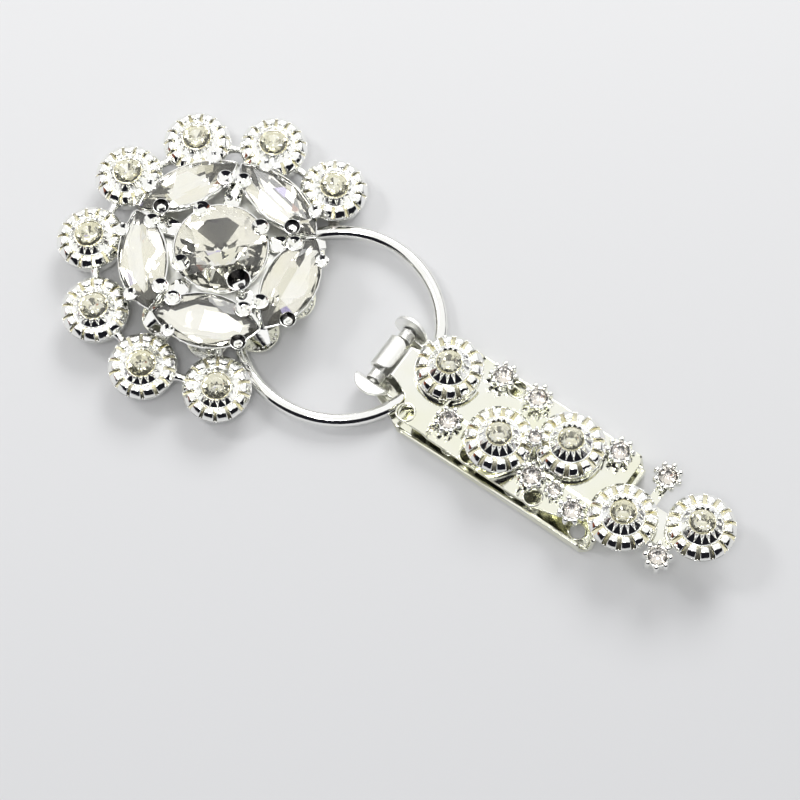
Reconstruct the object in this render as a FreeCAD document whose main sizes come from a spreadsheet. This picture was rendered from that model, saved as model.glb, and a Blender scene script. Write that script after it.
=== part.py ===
# Rhinestone hair clip: a jewelled flower medallion and a decorated alligator clip on one wire ring.
# Millimetres, +Z up. The origin is on the underside of the lower jaw, straight below the ring's wire,
# +X runs along the clip towards its tip and +Y across it.
import FreeCAD, Part
import math
import os
import Sketcher

SHEET = "Sizes"

# name: (value, what it is)
DRIVING = {
    # ring
    "ring_inner_diameter": (30.0, "inside of the wire ring"),
    "ring_wire": (1.7, "thickness of the ring's wire"),
    "ring_floor_gap": (0.6, "space between the lower jaw's floor and the wire"),
    # flower medallion
    "flower_yaw": (7.5, "turn of the line flower-ring against the clip, degrees"),
    "ring_reach": (4.65, "flower centre to the near side of the ring's centre line"),
    "plate_radius": (12.6, "base plate without its lobes"),
    "plate_thickness": (0.6, "sheet of the base plate"),
    "plate_ring_gap": (0.1, "running gap between ring and base plate"),
    "lobe_count": (10, "scallops round the base plate"),
    "lobe_radius": (3.1, "radius of a scallop"),
    "lobe_hole_radius": (0.9, "hole in each scallop"),
    "cup_circle": (20.8, "circle through the rim cups' centres"),
    "ring_cup_gap": (0.135, "gap between the ring's wire and the walls of the two cups beside it"),
    "cup_tilt": (5.0, "outward lean of the rim cups, degrees"),
    "cup_radius": (5.1, "rim of a ribbed cup"),
    "cup_wall_radius": (4.9, "wall below the rim"),
    "cup_foot_radius": (2.6, "flat under a rim cup"),
    "cup_bowl_height": (1.6, "rounded bottom of a rim cup"),
    "cup_wall_height": (4.3, "where the wall meets the rim"),
    "cup_rim_height": (4.9, "top edge of the rim"),
    "cup_crown_radius": (3.2, "inner end of the ribs"),
    "cup_crown_height": (5.7, "top of the ribbed face"),
    "rib_count": (18, "ribs round a cup"),
    "rib_groove_width": (0.3, "groove between two ribs"),
    "rib_groove_depth": (0.25, "depth of that groove"),
    "rim_stone_radius": (2.2, "chaton in a rim cup"),
    "rim_stone_crown": (0.75, "chaton above its girdle"),
    "rim_stone_pavilion": (1.4, "chaton below its girdle"),
    "stone_clearance": (0.05, "gap between a stone and its seat"),
    "link_width": (1.2, "link bar between neighbouring cups"),
    "link_height": (1.0, "height of a link bar"),
    "link_clearance": (0.05, "gap at each end of a link bar"),
    "solder_radius": (1.1, "solder spot between ring and cup"),
    # navette stones
    "navette_circle": (12.1, "circle through the navettes' centres"),
    "navette_height": (9.3, "height of the navettes' girdles"),
    "navette_tilt": (20.0, "outward lean of the navettes, degrees"),
    "navette_half_length": (8.25, "half the navette's length"),
    "navette_half_width": (4.0, "half the navette's width"),
    "navette_crown": (1.6, "navette above its girdle"),
    "navette_pavilion": (2.4, "navette below its girdle"),
    "tray_wall": (0.35, "metal round a navette"),
    "tray_floor": (0.5, "metal under a navette"),
    "claw_radius": (0.4, "claw wire"),
    "claw_gap": (0.1, "gap between a claw and its stone"),
    "claw_reach": (0.6, "claw above the girdle"),
    "claw_station": (5.6, "claw's distance from the navette's middle"),
    "foot_ball_radius": (1.5, "soldered ball foot of a navette setting"),
    "foot_neck_radius": (1.0, "neck between that ball and the setting"),
    # centre stone
    "centre_stone_radius": (7.1, "centre stone across its corners"),
    "centre_stone_height": (10.0, "height of its girdle"),
    "centre_crown": (2.4, "centre stone above its girdle"),
    "centre_pavilion": (3.6, "centre stone below its girdle"),
    "basket_wall": (0.35, "metal round the centre stone"),
    "basket_post_radius": (3.0, "post under the centre stone"),
    "centre_claw_angle": (-36.0, "first of the four centre claws, degrees"),
    "centre_claw_radius": (0.4, "wire of the centre claws"),
    # clip
    "sheet_metal": (0.6, "sheet of both jaws"),
    "pin_to_ring": (5.9, "hinge pin to ring wire, along the clip"),
    "pin_height": (3.0, "hinge pin above the base"),
    "pin_radius": (0.6, "hinge pin"),
    "pin_clearance": (0.08, "running fit on the pin"),
    "pin_head_radius": (1.0, "riveted head of the pin"),
    "pin_head_height": (0.5, "thickness of that head"),
    "barrel_radius": (2.05, "rolled hinge barrel"),
    "barrel_half_length": (2.8, "half the barrel's length"),
    "ear_radius": (2.9, "round ears of the lower jaw"),
    "ear_half_span": (5.3, "half the width over the ears"),
    "coil_radius": (1.2, "spring coil outside"),
    "coil_wire": (0.45, "spring wire"),
    "coil_end_gap": (0.15, "gap at each end of a coil"),
    "coil_leg": (3.4, "spring leg along the floor"),
    "lower_half_width": (8.9, "half the lower jaw's width"),
    "lower_length": (36.0, "lower jaw beyond the ring wire"),
    "flare_end": (1.9, "where the lower jaw reaches full width"),
    "flange_start": (1.4, "where the side flanges begin"),
    "flange_low": (1.5, "flange height near the ring, above the base"),
    "flange_high": (2.9, "flange height at the tip, above the base"),
    "lip_gap": (0.3, "jaw gap at the tip lip"),
    "corner_radius": (2.2, "rounded jaw corners"),
    "upper_half_width": (8.3, "half the upper jaw's width"),
    "upper_start": (-0.4, "near edge of the upper jaw's plate"),
    "upper_length": (35.4, "upper jaw beyond the ring wire"),
    "upper_tilt": (1.5, "rise of the closed upper jaw, degrees"),
    "neck_half_width": (2.25, "half the neck's width"),
    "neck_ring_gap": (0.55, "space between wire and neck"),
    "step_start": (5.4, "crease where the plate steps down"),
    "step_length": (1.2, "length of that crease"),
    "step_drop": (0.8, "height of that crease"),
    "stamp_radius": (1.3, "stamped holes of the upper jaw"),
    "stamp_pitch": (11.75, "pitch of those holes"),
    "stamp_first": (1.5, "first hole beyond the ring wire"),
    "stamp_side": (6.6, "holes off the middle line"),
    "floor_hole_radius": (1.2, "stamped holes of the lower jaw"),
    "floor_hole_side": (6.2, "those holes off the middle line"),
    "floor_hole_first": (9.6, "first of those holes"),
    "floor_hole_pitch": (11.75, "pitch of those holes"),
    # decoration
    "strip_half_width": (2.5, "half the backing strip's width"),
    "strip_end": (46.9, "end of the backing strip"),
    "strip_pad_radius": (3.0, "round pads of the strip under the outer cups"),
    "arm_width": (1.6, "arms to the two outer chatons"),
    "cone_wall_radius": (4.95, "wall of a cone cup"),
    "cone_foot_radius": (3.4, "flat under a cone cup"),
    "cone_bowl_height": (0.7, "rounded bottom of a cone cup"),
    "cone_wall_height": (1.9, "where its wall meets the rim"),
    "cone_rim_height": (2.4, "top edge of its rim"),
    "cone_crown_radius": (3.5, "foot of the steep cone"),
    "cone_crown_height": (3.0, "height of the cone's foot"),
    "cone_top_height": (4.9, "top of the cone"),
    "cone_stone_radius": (1.85, "chaton of a cone cup"),
    "cone_stone_crown": (0.65, "that chaton above its girdle"),
    "cone_stone_pavilion": (1.2, "that chaton below its girdle"),
    "seat_land": (0.35, "metal round a seated chaton"),
    "seat_depth": (0.3, "girdle below the top of its seat"),
    "accent_radius": (2.3, "small claw chaton's setting"),
    "accent_foot_radius": (1.2, "its foot"),
    "accent_height": (2.4, "its height"),
    "valley_scale": (0.7, "size of the two smallest chatons against the others"),
    "valley_rise": (0.25, "height of the chaton that rests on two rims over those rims"),
    # places along the clip from the ring wire, and across it
    "cup_1_along": (3.2, "first cone cup along the clip"),
    "cup_1_across": (2.6, "first cone cup across it"),
    "cup_2_along": (16.1, "second cone cup along the clip"),
    "cup_2_across": (-2.7, "second cone cup across it"),
    "cup_3_along": (25.5, "third cone cup along the clip"),
    "cup_3_across": (2.8, "third cone cup across it"),
    "cup_4_along": (38.4, "fourth cone cup along the clip"),
    "cup_4_across": (-2.4, "fourth cone cup across it"),
    "cup_5_along": (48.9, "fifth cone cup along the clip"),
    "cup_5_across": (3.0, "fifth cone cup across it"),
    "chaton_1_along": (7.9, "first chaton on the plate, along the clip"),
    "chaton_1_across": (-4.3, "first chaton on the plate, across it"),
    "chaton_2_along": (10.6, "second chaton on the plate, along the clip"),
    "chaton_2_across": (6.6, "second chaton on the plate, across it"),
    "chaton_3_along": (17.0, "third chaton on the plate, along the clip"),
    "chaton_3_across": (6.6, "third chaton on the plate, across it"),
    "chaton_4_along": (23.3, "fourth chaton on the plate, along the clip"),
    "chaton_4_across": (-4.5, "fourth chaton on the plate, across it"),
    "chaton_5_along": (31.4, "fifth chaton on the plate, along the clip"),
    "chaton_5_across": (-5.6, "fifth chaton on the plate, across it"),
    "chaton_6_along": (32.1, "sixth chaton on the plate, along the clip"),
    "chaton_6_across": (6.4, "sixth chaton on the plate, across it"),
    "outer_chaton_1_along": (40.4, "first chaton on the strip, along the clip"),
    "outer_chaton_1_across": (6.9, "first chaton on the strip, across it"),
    "outer_chaton_2_along": (46.1, "second chaton on the strip, along the clip"),
    "outer_chaton_2_across": (-4.6, "second chaton on the strip, across it"),
    "valley_chaton_along": (27.3, "low small chaton between two cups, along the clip"),
    "valley_chaton_across": (-4.2, "that chaton across it"),
}

CUP_COUNT = 8
CONE_CUP_COUNT = 5
PLATE_CHATONS = 6
STRIP_CHATONS = 2
CUPS_ON_PLATE = 3
STAMPED_HOLES = 3
NAVETTE_COUNT = 5
CENTRE_CLAWS = 4
CENTRE_SIDES = 12
CHATON_SIDES = 8
NAVETTE_POINTS = 6
FULL_TURN = 360

# Shares that shape the stones, their settings and the sheet metal.
CULET_SHARE = 0.15
TABLE_SHARE = 0.6
CENTRE_CULET_SHARE = 0.3
KEEL_LENGTH_SHARE = 0.5
KEEL_WIDTH_SHARE = 0.15
NAVETTE_TABLE_LENGTH_SHARE = 0.66
NAVETTE_TABLE_WIDTH_SHARE = 0.55
TRAY_FOOT_LENGTH_SHARE = 0.75
TRAY_FOOT_WIDTH_SHARE = 0.55
CLAW_ROOT_SHARE = 0.5
SOLDER_SET_OFF_SHARE = 0.4
JAW_BACK_SHARE = 0.6
NECK_START_SHARE = 0.6
NECK_FLARE_SHARE = 1.5
CHATON_BELLY_SHARE = 0.7


class Size:
    # A length or angle that keeps the sheet expression it came from, so that features can be bound to it.
    def __init__(self, value, text):
        self.value = value
        self.text = text

    def __add__(self, other):
        other = as_size(other)
        return Size(self.value + other.value, f"({self.text} + {other.text})")

    def __sub__(self, other):
        other = as_size(other)
        return Size(self.value - other.value, f"({self.text} - {other.text})")

    def __mul__(self, other):
        other = as_size(other)
        return Size(self.value * other.value, f"({self.text} * {other.text})")

    def __truediv__(self, other):
        other = as_size(other)
        return Size(self.value / other.value, f"({self.text} / {other.text})")

    def __neg__(self):
        return Size(-self.value, f"(0 - {self.text})")


def as_size(number):
    if isinstance(number, Size):
        return number
    return Size(float(number), f"({number:.9f})")


def sine(angle):
    return Size(math.sin(math.radians(angle.value)), f"sin({angle.text})")


def cosine(angle):
    return Size(math.cos(math.radians(angle.value)), f"cos({angle.text})")


def arc_cosine(ratio):
    return Size(math.degrees(math.acos(ratio.value)), f"(acos({ratio.text}) / 1deg)")


def root(size):
    return Size(math.sqrt(size.value), f"sqrt({size.text})")


def make_sheet(doc):
    sheet = doc.addObject("Spreadsheet::Sheet", SHEET)
    sizes = {}
    for row, (name, (value, note)) in enumerate(DRIVING.items(), start=1):
        sheet.set(f"A{row}", name)
        sheet.set(f"B{row}", str(value))
        sheet.set(f"C{row}", note)
        sheet.setAlias(f"B{row}", name)
        sizes[name] = Size(float(value), f"{SHEET}.{name}")
    doc.recompute()
    return sizes


class Place:
    # A placement as a sheet expression, so that a sub-part follows the sizes that carry it.
    def __init__(self, x=0, y=0, z=0, axis=(0, 0, 1), angle=0, text=None):
        if text is None:
            spot = f"vector({as_size(x).text}; {as_size(y).text}; {as_size(z).text})"
            turn = f"rotation(vector({axis[0]}; {axis[1]}; {axis[2]}); {as_size(angle).text})"
            text = f"placement({spot}; {turn})"
        self.text = text

    def __mul__(self, other):
        return Place(text=f"{self.text} * {other.text}")

    def bind(self, sub_part):
        sub_part.setExpression("Placement", self.text)


X_AXIS = (1, 0, 0)
Y_AXIS = (0, 1, 0)
Z_AXIS = (0, 0, 1)

doc = FreeCAD.newDocument("HairClip")
sizes = make_sheet(doc)
nodes = []


def size(name):
    return sizes[name]


def spot_of(name):
    return size(name + "_along"), size(name + "_across")


def origin_feature(body, role):
    return [feature for feature in body.Origin.OriginFeatures if feature.Role == role][0]


def new_body(name, is_node=True):
    body = doc.addObject("PartDesign::Body", name)
    body.Label = name
    if is_node:
        nodes.append(body)
    return body


def new_sketch(body, name, role, level=None):
    sketch = body.newObject("Sketcher::SketchObject", name)
    sketch.AttachmentSupport = [(origin_feature(body, role), "")]
    sketch.MapMode = "FlatFace"
    if level is not None:
        sketch.setExpression("AttachmentOffset.Base.z", level.text)
    return sketch


def bind_constraint(sketch, constraint, wanted):
    index = sketch.addConstraint(constraint)
    sketch.setExpression(f"Constraints[{index}]", wanted.text)


def add_polygon(sketch, corners):
    # A closed outline whose corners are bound to the sheet one by one.
    corners = [(as_size(x), as_size(y)) for x, y in corners]
    first = sketch.GeometryCount
    for index, (x, y) in enumerate(corners):
        next_x, next_y = corners[(index + 1) % len(corners)]
        start = FreeCAD.Vector(x.value, y.value, 0)
        end = FreeCAD.Vector(next_x.value, next_y.value, 0)
        sketch.addGeometry(Part.LineSegment(start, end), False)
    for index in range(len(corners)):
        following = first + (index + 1) % len(corners)
        sketch.addConstraint(Sketcher.Constraint("Coincident", first + index, 2, following, 1))
    for index, (x, y) in enumerate(corners):
        line = first + index
        bind_constraint(sketch, Sketcher.Constraint("DistanceX", -1, 1, line, 1, x.value), x)
        bind_constraint(sketch, Sketcher.Constraint("DistanceY", -1, 1, line, 1, y.value), y)


def add_circle(sketch, x, y, radius):
    x = as_size(x)
    y = as_size(y)
    middle = FreeCAD.Vector(x.value, y.value, 0)
    circle = sketch.addGeometry(Part.Circle(middle, FreeCAD.Vector(0, 0, 1), radius.value), False)
    bind_constraint(sketch, Sketcher.Constraint("Radius", circle, radius.value), radius)
    bind_constraint(sketch, Sketcher.Constraint("DistanceX", -1, 1, circle, 3, x.value), x)
    bind_constraint(sketch, Sketcher.Constraint("DistanceY", -1, 1, circle, 3, y.value), y)


def pad(body, sketch, length, midplane=False):
    feature = body.newObject("PartDesign::Pad", sketch.Name + "_pad")
    feature.Profile = sketch
    feature.Midplane = midplane
    feature.setExpression("Length", as_size(length).text)
    return feature


def pocket_through(body, sketch):
    feature = body.newObject("PartDesign::Pocket", sketch.Name + "_pocket")
    feature.Profile = sketch
    feature.Type = "ThroughAll"
    feature.Midplane = True
    return feature


def polar_pattern(body, feature, count, angle=360):
    pattern = body.newObject("PartDesign::PolarPattern", feature.Name + "_pattern")
    pattern.Originals = [feature]
    pattern.Axis = (origin_feature(body, "Z_Axis"), [""])
    pattern.setExpression("Angle", as_size(angle).text)
    pattern.setExpression("Occurrences", as_size(count).text)
    body.Tip = pattern
    return pattern


def turned(body, name, corners):
    sketch = new_sketch(body, name, "XZ_Plane")
    add_polygon(sketch, corners)
    feature = body.newObject("PartDesign::Revolution", name + "_turned")
    feature.Profile = sketch
    feature.ReferenceAxis = (sketch, ["V_Axis"])
    feature.Angle = 360
    return feature


def loft(body, kind, name, sections):
    # sections: (level, corners) from the bottom up.
    sketches = []
    for index, (level, corners) in enumerate(sections):
        sketch = new_sketch(body, f"{name}_{index}", "XY_Plane", level)
        add_polygon(sketch, corners)
        sketches.append(sketch)
    feature = body.newObject("PartDesign::" + kind, name + "_loft")
    feature.Profile = sketches[0]
    feature.Sections = sketches[1:]
    feature.Ruled = True
    return feature


def round_outline(radius, sides):
    step = 2 * math.pi / sides
    return [(radius * math.cos(step * k), radius * math.sin(step * k)) for k in range(sides)]


def navette_outline(half_length, half_width):
    # Two shallow arcs that meet in a point at each end, cut into straight facets.
    arc = (half_length * half_length + half_width * half_width) / (half_width * 2)
    upper = []
    for k in range(1, NAVETTE_POINTS):
        y = half_length * (1 - 2 * k / NAVETTE_POINTS)
        upper.append((root(arc * arc - y * y) - (arc - half_width), y))
    right_side = [(as_size(0), half_length)] + upper
    left_side = [(-x, -y) for x, y in right_side]
    return right_side + left_side


def copy_of(form, name, place, is_node=True):
    body = new_body(name, is_node)
    link = doc.addObject("PartDesign::FeatureBase", name + "_copy")
    link.BaseFeature = form
    body.Group = [link]
    body.Tip = link
    place.bind(body)
    return body


def chaton_form(name, radius, crown, pavilion):
    form = new_body(name, is_node=False)
    sections = [
        (-pavilion, round_outline(radius * CULET_SHARE, CHATON_SIDES)),
        (as_size(0), round_outline(radius, CHATON_SIDES)),
        (crown, round_outline(radius * TABLE_SHARE, CHATON_SIDES)),
    ]
    loft(form, "AdditiveLoft", name, sections)
    return form


# ---- shared levels ----

ring_radius = (size("ring_inner_diameter") + size("ring_wire")) / 2
wire_radius = size("ring_wire") / 2
ring_height = size("sheet_metal") + size("ring_floor_gap") + wire_radius
plate_bottom = ring_height + wire_radius + size("plate_ring_gap")
plate_top = plate_bottom + size("plate_thickness")
neck_bottom = ring_height + wire_radius + size("neck_ring_gap")

flower_offset = ring_radius + size("ring_reach")
flower_x = -ring_radius - flower_offset * cosine(size("flower_yaw"))
flower_y = -(flower_offset * sine(size("flower_yaw")))
flower = Place(flower_x, flower_y, 0, Z_AXIS, size("flower_yaw"))

# The two cups beside the ring stand just clear of its wire, and the others share the rest of the circle.
first_cup_reach = ring_radius + wire_radius + size("cup_wall_radius") + size("ring_cup_gap")
spread_squared = flower_offset * flower_offset + size("cup_circle") * size("cup_circle")
first_cup_angle = arc_cosine((spread_squared - first_cup_reach * first_cup_reach)
                             / (flower_offset * size("cup_circle") * 2))
cup_step = (as_size(FULL_TURN) - first_cup_angle * 2) / (CUP_COUNT - 1)
cup_lift = size("cup_foot_radius") * sine(size("cup_tilt"))


def cup_place(number):
    angle = first_cup_angle + cup_step * number
    return (flower * Place(angle=angle) * Place(x=size("cup_circle"), z=cup_lift)
            * Place(axis=Y_AXIS, angle=size("cup_tilt")))


# ---- flower ----

def base_plate():
    body = new_body("flower_base_plate")
    disc = new_sketch(body, "plate_disc", "XY_Plane")
    add_circle(disc, 0, 0, size("plate_radius"))
    pad(body, disc, size("plate_thickness"))
    lobe = new_sketch(body, "plate_lobe", "XY_Plane")
    add_circle(lobe, size("plate_radius"), 0, size("lobe_radius"))
    lobe_pad = pad(body, lobe, size("plate_thickness"))
    doc.recompute()
    polar_pattern(body, lobe_pad, size("lobe_count"))
    hole = new_sketch(body, "lobe_hole", "XY_Plane")
    add_circle(hole, size("plate_radius") + size("lobe_radius") / 3, 0, size("lobe_hole_radius"))
    hole_cut = pocket_through(body, hole)
    doc.recompute()
    polar_pattern(body, hole_cut, size("lobe_count"))
    (flower * Place(z=plate_bottom)).bind(body)


def cut_ribs(body, inner_radius, inner_height, outer_height):
    # Straight grooves down the ribbed face, one cut turned round the cup.
    groove = new_sketch(body, body.Name + "_groove", "XZ_Plane")
    depth = size("rib_groove_depth")
    outer_radius = size("cup_radius")
    corners = [
        (inner_radius, inner_height - depth),
        (outer_radius - depth, outer_height - depth),
        (outer_radius - depth, outer_height - depth * 2),
        (outer_radius + depth, outer_height - depth * 2),
        (outer_radius + depth, inner_height + depth),
        (inner_radius, inner_height + depth),
    ]
    add_polygon(groove, corners)
    cut = body.newObject("PartDesign::Pocket", body.Name + "_groove_cut")
    cut.Profile = groove
    cut.Midplane = True
    cut.setExpression("Length", size("rib_groove_width").text)
    doc.recompute()
    polar_pattern(body, cut, size("rib_count"))


def rim_cup_form():
    form = new_body("rim_cup_form", is_node=False)
    seat_radius = size("rim_stone_radius") + size("stone_clearance")
    seat_top = size("cup_crown_height") - size("seat_depth")
    corners = [
        (0, 0),
        (size("cup_foot_radius"), 0),
        (size("cup_wall_radius"), size("cup_bowl_height")),
        (size("cup_wall_radius"), size("cup_wall_height")),
        (size("cup_radius"), size("cup_wall_height")),
        (size("cup_radius"), size("cup_rim_height")),
        (size("cup_crown_radius"), size("cup_crown_height")),
        (seat_radius, size("cup_crown_height")),
        (seat_radius, seat_top),
        (0, seat_top - size("rim_stone_pavilion") - size("seat_land")),
    ]
    turned(form, "rim_cup_profile", corners)
    doc.recompute()
    cut_ribs(form, size("cup_crown_radius"), size("cup_crown_height"), size("cup_rim_height"))
    return form


def rim_cups():
    cup = rim_cup_form()
    stone = chaton_form("rim_stone_form", size("rim_stone_radius"), size("rim_stone_crown"),
                        size("rim_stone_pavilion"))
    girdle = size("cup_crown_height") - size("seat_depth")
    for number in range(CUP_COUNT):
        copy_of(cup, f"rim_cup_{number + 1}", cup_place(number))
        copy_of(stone, f"rim_stone_{number + 1}", cup_place(number) * Place(z=girdle))


def link_bar(name, inner_end, outer_end, half_length, level, first_angle, count):
    # A small bar repeated round the flower, drawn across the line from its centre.
    body = new_body(name, is_node=False)
    bar = new_sketch(body, name + "_outline", "XY_Plane")
    add_polygon(bar, [
        (inner_end, -half_length),
        (outer_end, -half_length),
        (outer_end, half_length),
        (inner_end, half_length),
    ])
    bar_pad = pad(body, bar, size("link_height"))
    doc.recompute()
    polar_pattern(body, bar_pad, count, cup_step * (count - 1))
    Place(z=level, angle=first_angle).bind(body)
    return body


def rim_links():
    # Bars from cup to cup along the rim circle, and from each cup to the base plate.
    half_width = size("link_width") / 2
    middle_circle = size("cup_circle") * cosine(cup_step / 2)
    half_gap = size("cup_circle") * sine(cup_step / 2) - size("cup_wall_radius") - size("link_clearance")
    cup_bars = link_bar("cup_bars", middle_circle - half_width, middle_circle + half_width, half_gap,
                        plate_bottom, first_cup_angle + cup_step / 2, CUP_COUNT - 1)
    plate_bars = link_bar("plate_bars", size("plate_radius") - half_width,
                          size("cup_circle") - size("cup_wall_radius"), half_width,
                          plate_top, first_cup_angle, CUP_COUNT)
    links = doc.addObject("Part::Compound", "rim_links")
    links.Label = "rim_links"
    links.Links = [cup_bars, plate_bars]
    flower.bind(links)
    nodes.append(links)


def navettes():
    tray = new_body("navette_setting_form", is_node=False)
    half_length = size("navette_half_length")
    half_width = size("navette_half_width")
    wall = size("tray_wall")
    gap = size("stone_clearance")
    depth = size("navette_pavilion")
    keel_length = half_length * KEEL_LENGTH_SHARE
    keel_width = half_width * KEEL_WIDTH_SHARE
    foot_outline = navette_outline(half_length * TRAY_FOOT_LENGTH_SHARE, half_width * TRAY_FOOT_WIDTH_SHARE)
    outer = [
        (-(depth + gap + size("tray_floor")), foot_outline),
        (-gap, navette_outline(half_length + wall, half_width + wall)),
    ]
    loft(tray, "AdditiveLoft", "tray_outside", outer)
    doc.recompute()
    inner = [
        (-(depth + gap), navette_outline(keel_length + gap, keel_width + gap)),
        (as_size(0), navette_outline(half_length + gap, half_width + gap)),
    ]
    loft(tray, "SubtractiveLoft", "tray_inside", inner)
    doc.recompute()
    claws = new_sketch(tray, "tray_claws", "XY_Plane", -(depth * CLAW_ROOT_SHARE))
    station = size("claw_station")
    arc = (half_length * half_length + half_width * half_width) / (half_width * 2)
    outline_at_claw = root(arc * arc - station * station) - (arc - half_width)
    claw_x = outline_at_claw + size("claw_gap") + size("claw_radius")
    for side in (-1, 1):
        for end in (-1, 1):
            add_circle(claws, claw_x * side, station * end, size("claw_radius"))
    pad(tray, claws, depth * CLAW_ROOT_SHARE + size("claw_reach"))
    ball_centre = -((size("navette_height") - plate_top - size("foot_ball_radius"))
                    / cosine(size("navette_tilt")))
    ball = new_sketch(tray, "tray_ball", "XZ_Plane")
    ball_radius = size("foot_ball_radius")
    top = FreeCAD.Vector(0, (ball_centre + ball_radius).value, 0)
    bottom = FreeCAD.Vector(0, (ball_centre - ball_radius).value, 0)
    middle = FreeCAD.Vector(0, ball_centre.value, 0)
    circle = Part.Circle(middle, FreeCAD.Vector(0, 0, 1), ball_radius.value)
    ball.addGeometry(Part.ArcOfCircle(circle, -math.pi / 2, math.pi / 2), False)
    ball.addGeometry(Part.LineSegment(top, bottom), False)
    ball.addConstraint(Sketcher.Constraint("Coincident", 0, 2, 1, 1))
    ball.addConstraint(Sketcher.Constraint("Coincident", 0, 1, 1, 2))
    ball.addConstraint(Sketcher.Constraint("PointOnObject", 0, 3, -2))
    ball.addConstraint(Sketcher.Constraint("PointOnObject", 1, 1, -2))
    ball.addConstraint(Sketcher.Constraint("PointOnObject", 1, 2, -2))
    bind_constraint(ball, Sketcher.Constraint("Radius", 0, ball_radius.value), ball_radius)
    bind_constraint(ball, Sketcher.Constraint("DistanceY", -1, 1, 0, 3, ball_centre.value), ball_centre)
    feature = tray.newObject("PartDesign::Revolution", "tray_ball_turned")
    feature.Profile = ball
    feature.ReferenceAxis = (ball, ["V_Axis"])
    feature.Angle = 360
    neck = new_sketch(tray, "tray_neck", "XY_Plane", ball_centre)
    add_circle(neck, 0, 0, size("foot_neck_radius"))
    pad(tray, neck, -ball_centre - depth - gap - size("tray_floor") / 2)
    stone = new_body("navette_stone_form", is_node=False)
    table = navette_outline(half_length * NAVETTE_TABLE_LENGTH_SHARE, half_width * NAVETTE_TABLE_WIDTH_SHARE)
    sections = [
        (-depth, navette_outline(keel_length, keel_width)),
        (as_size(0), navette_outline(half_length, half_width)),
        (size("navette_crown"), table),
    ]
    loft(stone, "AdditiveLoft", "navette", sections)
    for number in range(NAVETTE_COUNT):
        turn = Place(angle=FULL_TURN / NAVETTE_COUNT * number)
        seat = Place(x=size("navette_circle"), z=size("navette_height"), axis=Y_AXIS,
                     angle=size("navette_tilt"))
        copy_of(tray, f"navette_setting_{number + 1}", flower * turn * seat)
        copy_of(stone, f"navette_stone_{number + 1}", flower * turn * seat)


def centre():
    basket = new_body("centre_setting")
    girdle = size("centre_stone_height")
    gap = size("stone_clearance")
    inner = size("centre_stone_radius") + gap
    outer = inner + size("basket_wall")
    post = size("basket_post_radius")
    bottom = girdle - size("centre_pavilion") - gap
    corners = [
        (0, plate_top),
        (post, plate_top),
        (post, bottom - size("basket_wall")),
        (outer, girdle - size("basket_wall") * 2),
        (outer, girdle - gap),
        (inner, girdle - gap),
        (size("centre_stone_radius") * CENTRE_CULET_SHARE, bottom),
        (0, bottom),
    ]
    turned(basket, "basket_profile", corners)
    doc.recompute()
    claw = new_sketch(basket, "centre_claw", "XY_Plane", girdle - size("basket_wall") * 3)
    claw_x = inner + size("claw_gap") + size("centre_claw_radius")
    add_circle(claw, claw_x, 0, size("centre_claw_radius"))
    claw_pad = pad(basket, claw, size("basket_wall") * 3 + size("claw_reach"))
    doc.recompute()
    polar_pattern(basket, claw_pad, CENTRE_CLAWS)
    (flower * Place(angle=size("centre_claw_angle"))).bind(basket)
    stone = new_body("centre_stone")
    radius = size("centre_stone_radius")
    sections = [
        (girdle - size("centre_pavilion"), round_outline(radius * CENTRE_CULET_SHARE, CENTRE_SIDES)),
        (girdle, round_outline(radius, CENTRE_SIDES)),
        (girdle + size("centre_crown"), round_outline(radius * TABLE_SHARE, CENTRE_SIDES)),
    ]
    loft(stone, "AdditiveLoft", "centre_stone_section", sections)
    flower.bind(stone)


def ring_and_solder():
    ring = new_body("ring")
    sketch = new_sketch(ring, "ring_section", "XZ_Plane")
    add_circle(sketch, ring_radius, 0, wire_radius)
    feature = ring.newObject("PartDesign::Revolution", "ring_turned")
    feature.Profile = sketch
    feature.ReferenceAxis = (sketch, ["V_Axis"])
    feature.Angle = 360
    Place(x=-ring_radius, z=ring_height).bind(ring)
    # A solder spot on the wall of the first and the last cup, shaped round the wire.
    ring_space = doc.addObject("Part::Torus", "ring_space")
    ring_space.setExpression("Radius1", ring_radius.text)
    ring_space.setExpression("Radius2", (wire_radius + size("plate_ring_gap")).text)
    Place(x=-ring_radius, z=ring_height).bind(ring_space)
    spots = []
    for number in (0, CUP_COUNT - 1):
        angle = first_cup_angle + cup_step * number
        cup_x = flower_x + size("cup_circle") * cosine(angle + size("flower_yaw"))
        cup_y = flower_y + size("cup_circle") * sine(angle + size("flower_yaw"))
        to_ring_x = -ring_radius - cup_x
        distance = root(to_ring_x * to_ring_x + cup_y * cup_y)
        reach = (size("cup_wall_radius") + size("solder_radius") * SOLDER_SET_OFF_SHARE) / distance
        spot = doc.addObject("Part::Sphere", f"solder_ball_{number + 1}")
        spot.setExpression("Radius", size("solder_radius").text)
        Place(x=cup_x + to_ring_x * reach, y=cup_y - cup_y * reach, z=ring_height).bind(spot)
        cup_space = doc.addObject("Part::Cylinder", f"cup_space_{number + 1}")
        cup_space.setExpression("Radius", (size("cup_wall_radius") + size("link_clearance")).text)
        cup_space.setExpression("Height", size("cup_rim_height").text)
        (cup_place(number)).bind(cup_space)
        clear_of_cup = doc.addObject("Part::Cut", f"solder_off_cup_{number + 1}")
        clear_of_cup.Base = spot
        clear_of_cup.Tool = cup_space
        clear_of_ring = doc.addObject("Part::Cut", f"solder_off_ring_{number + 1}")
        clear_of_ring.Base = clear_of_cup
        clear_of_ring.Tool = ring_space
        spots.append(clear_of_ring)
    solder = doc.addObject("Part::Compound", "ring_solder")
    solder.Label = "ring_solder"
    solder.Links = spots
    nodes.append(solder)


# ---- clip ----

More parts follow.
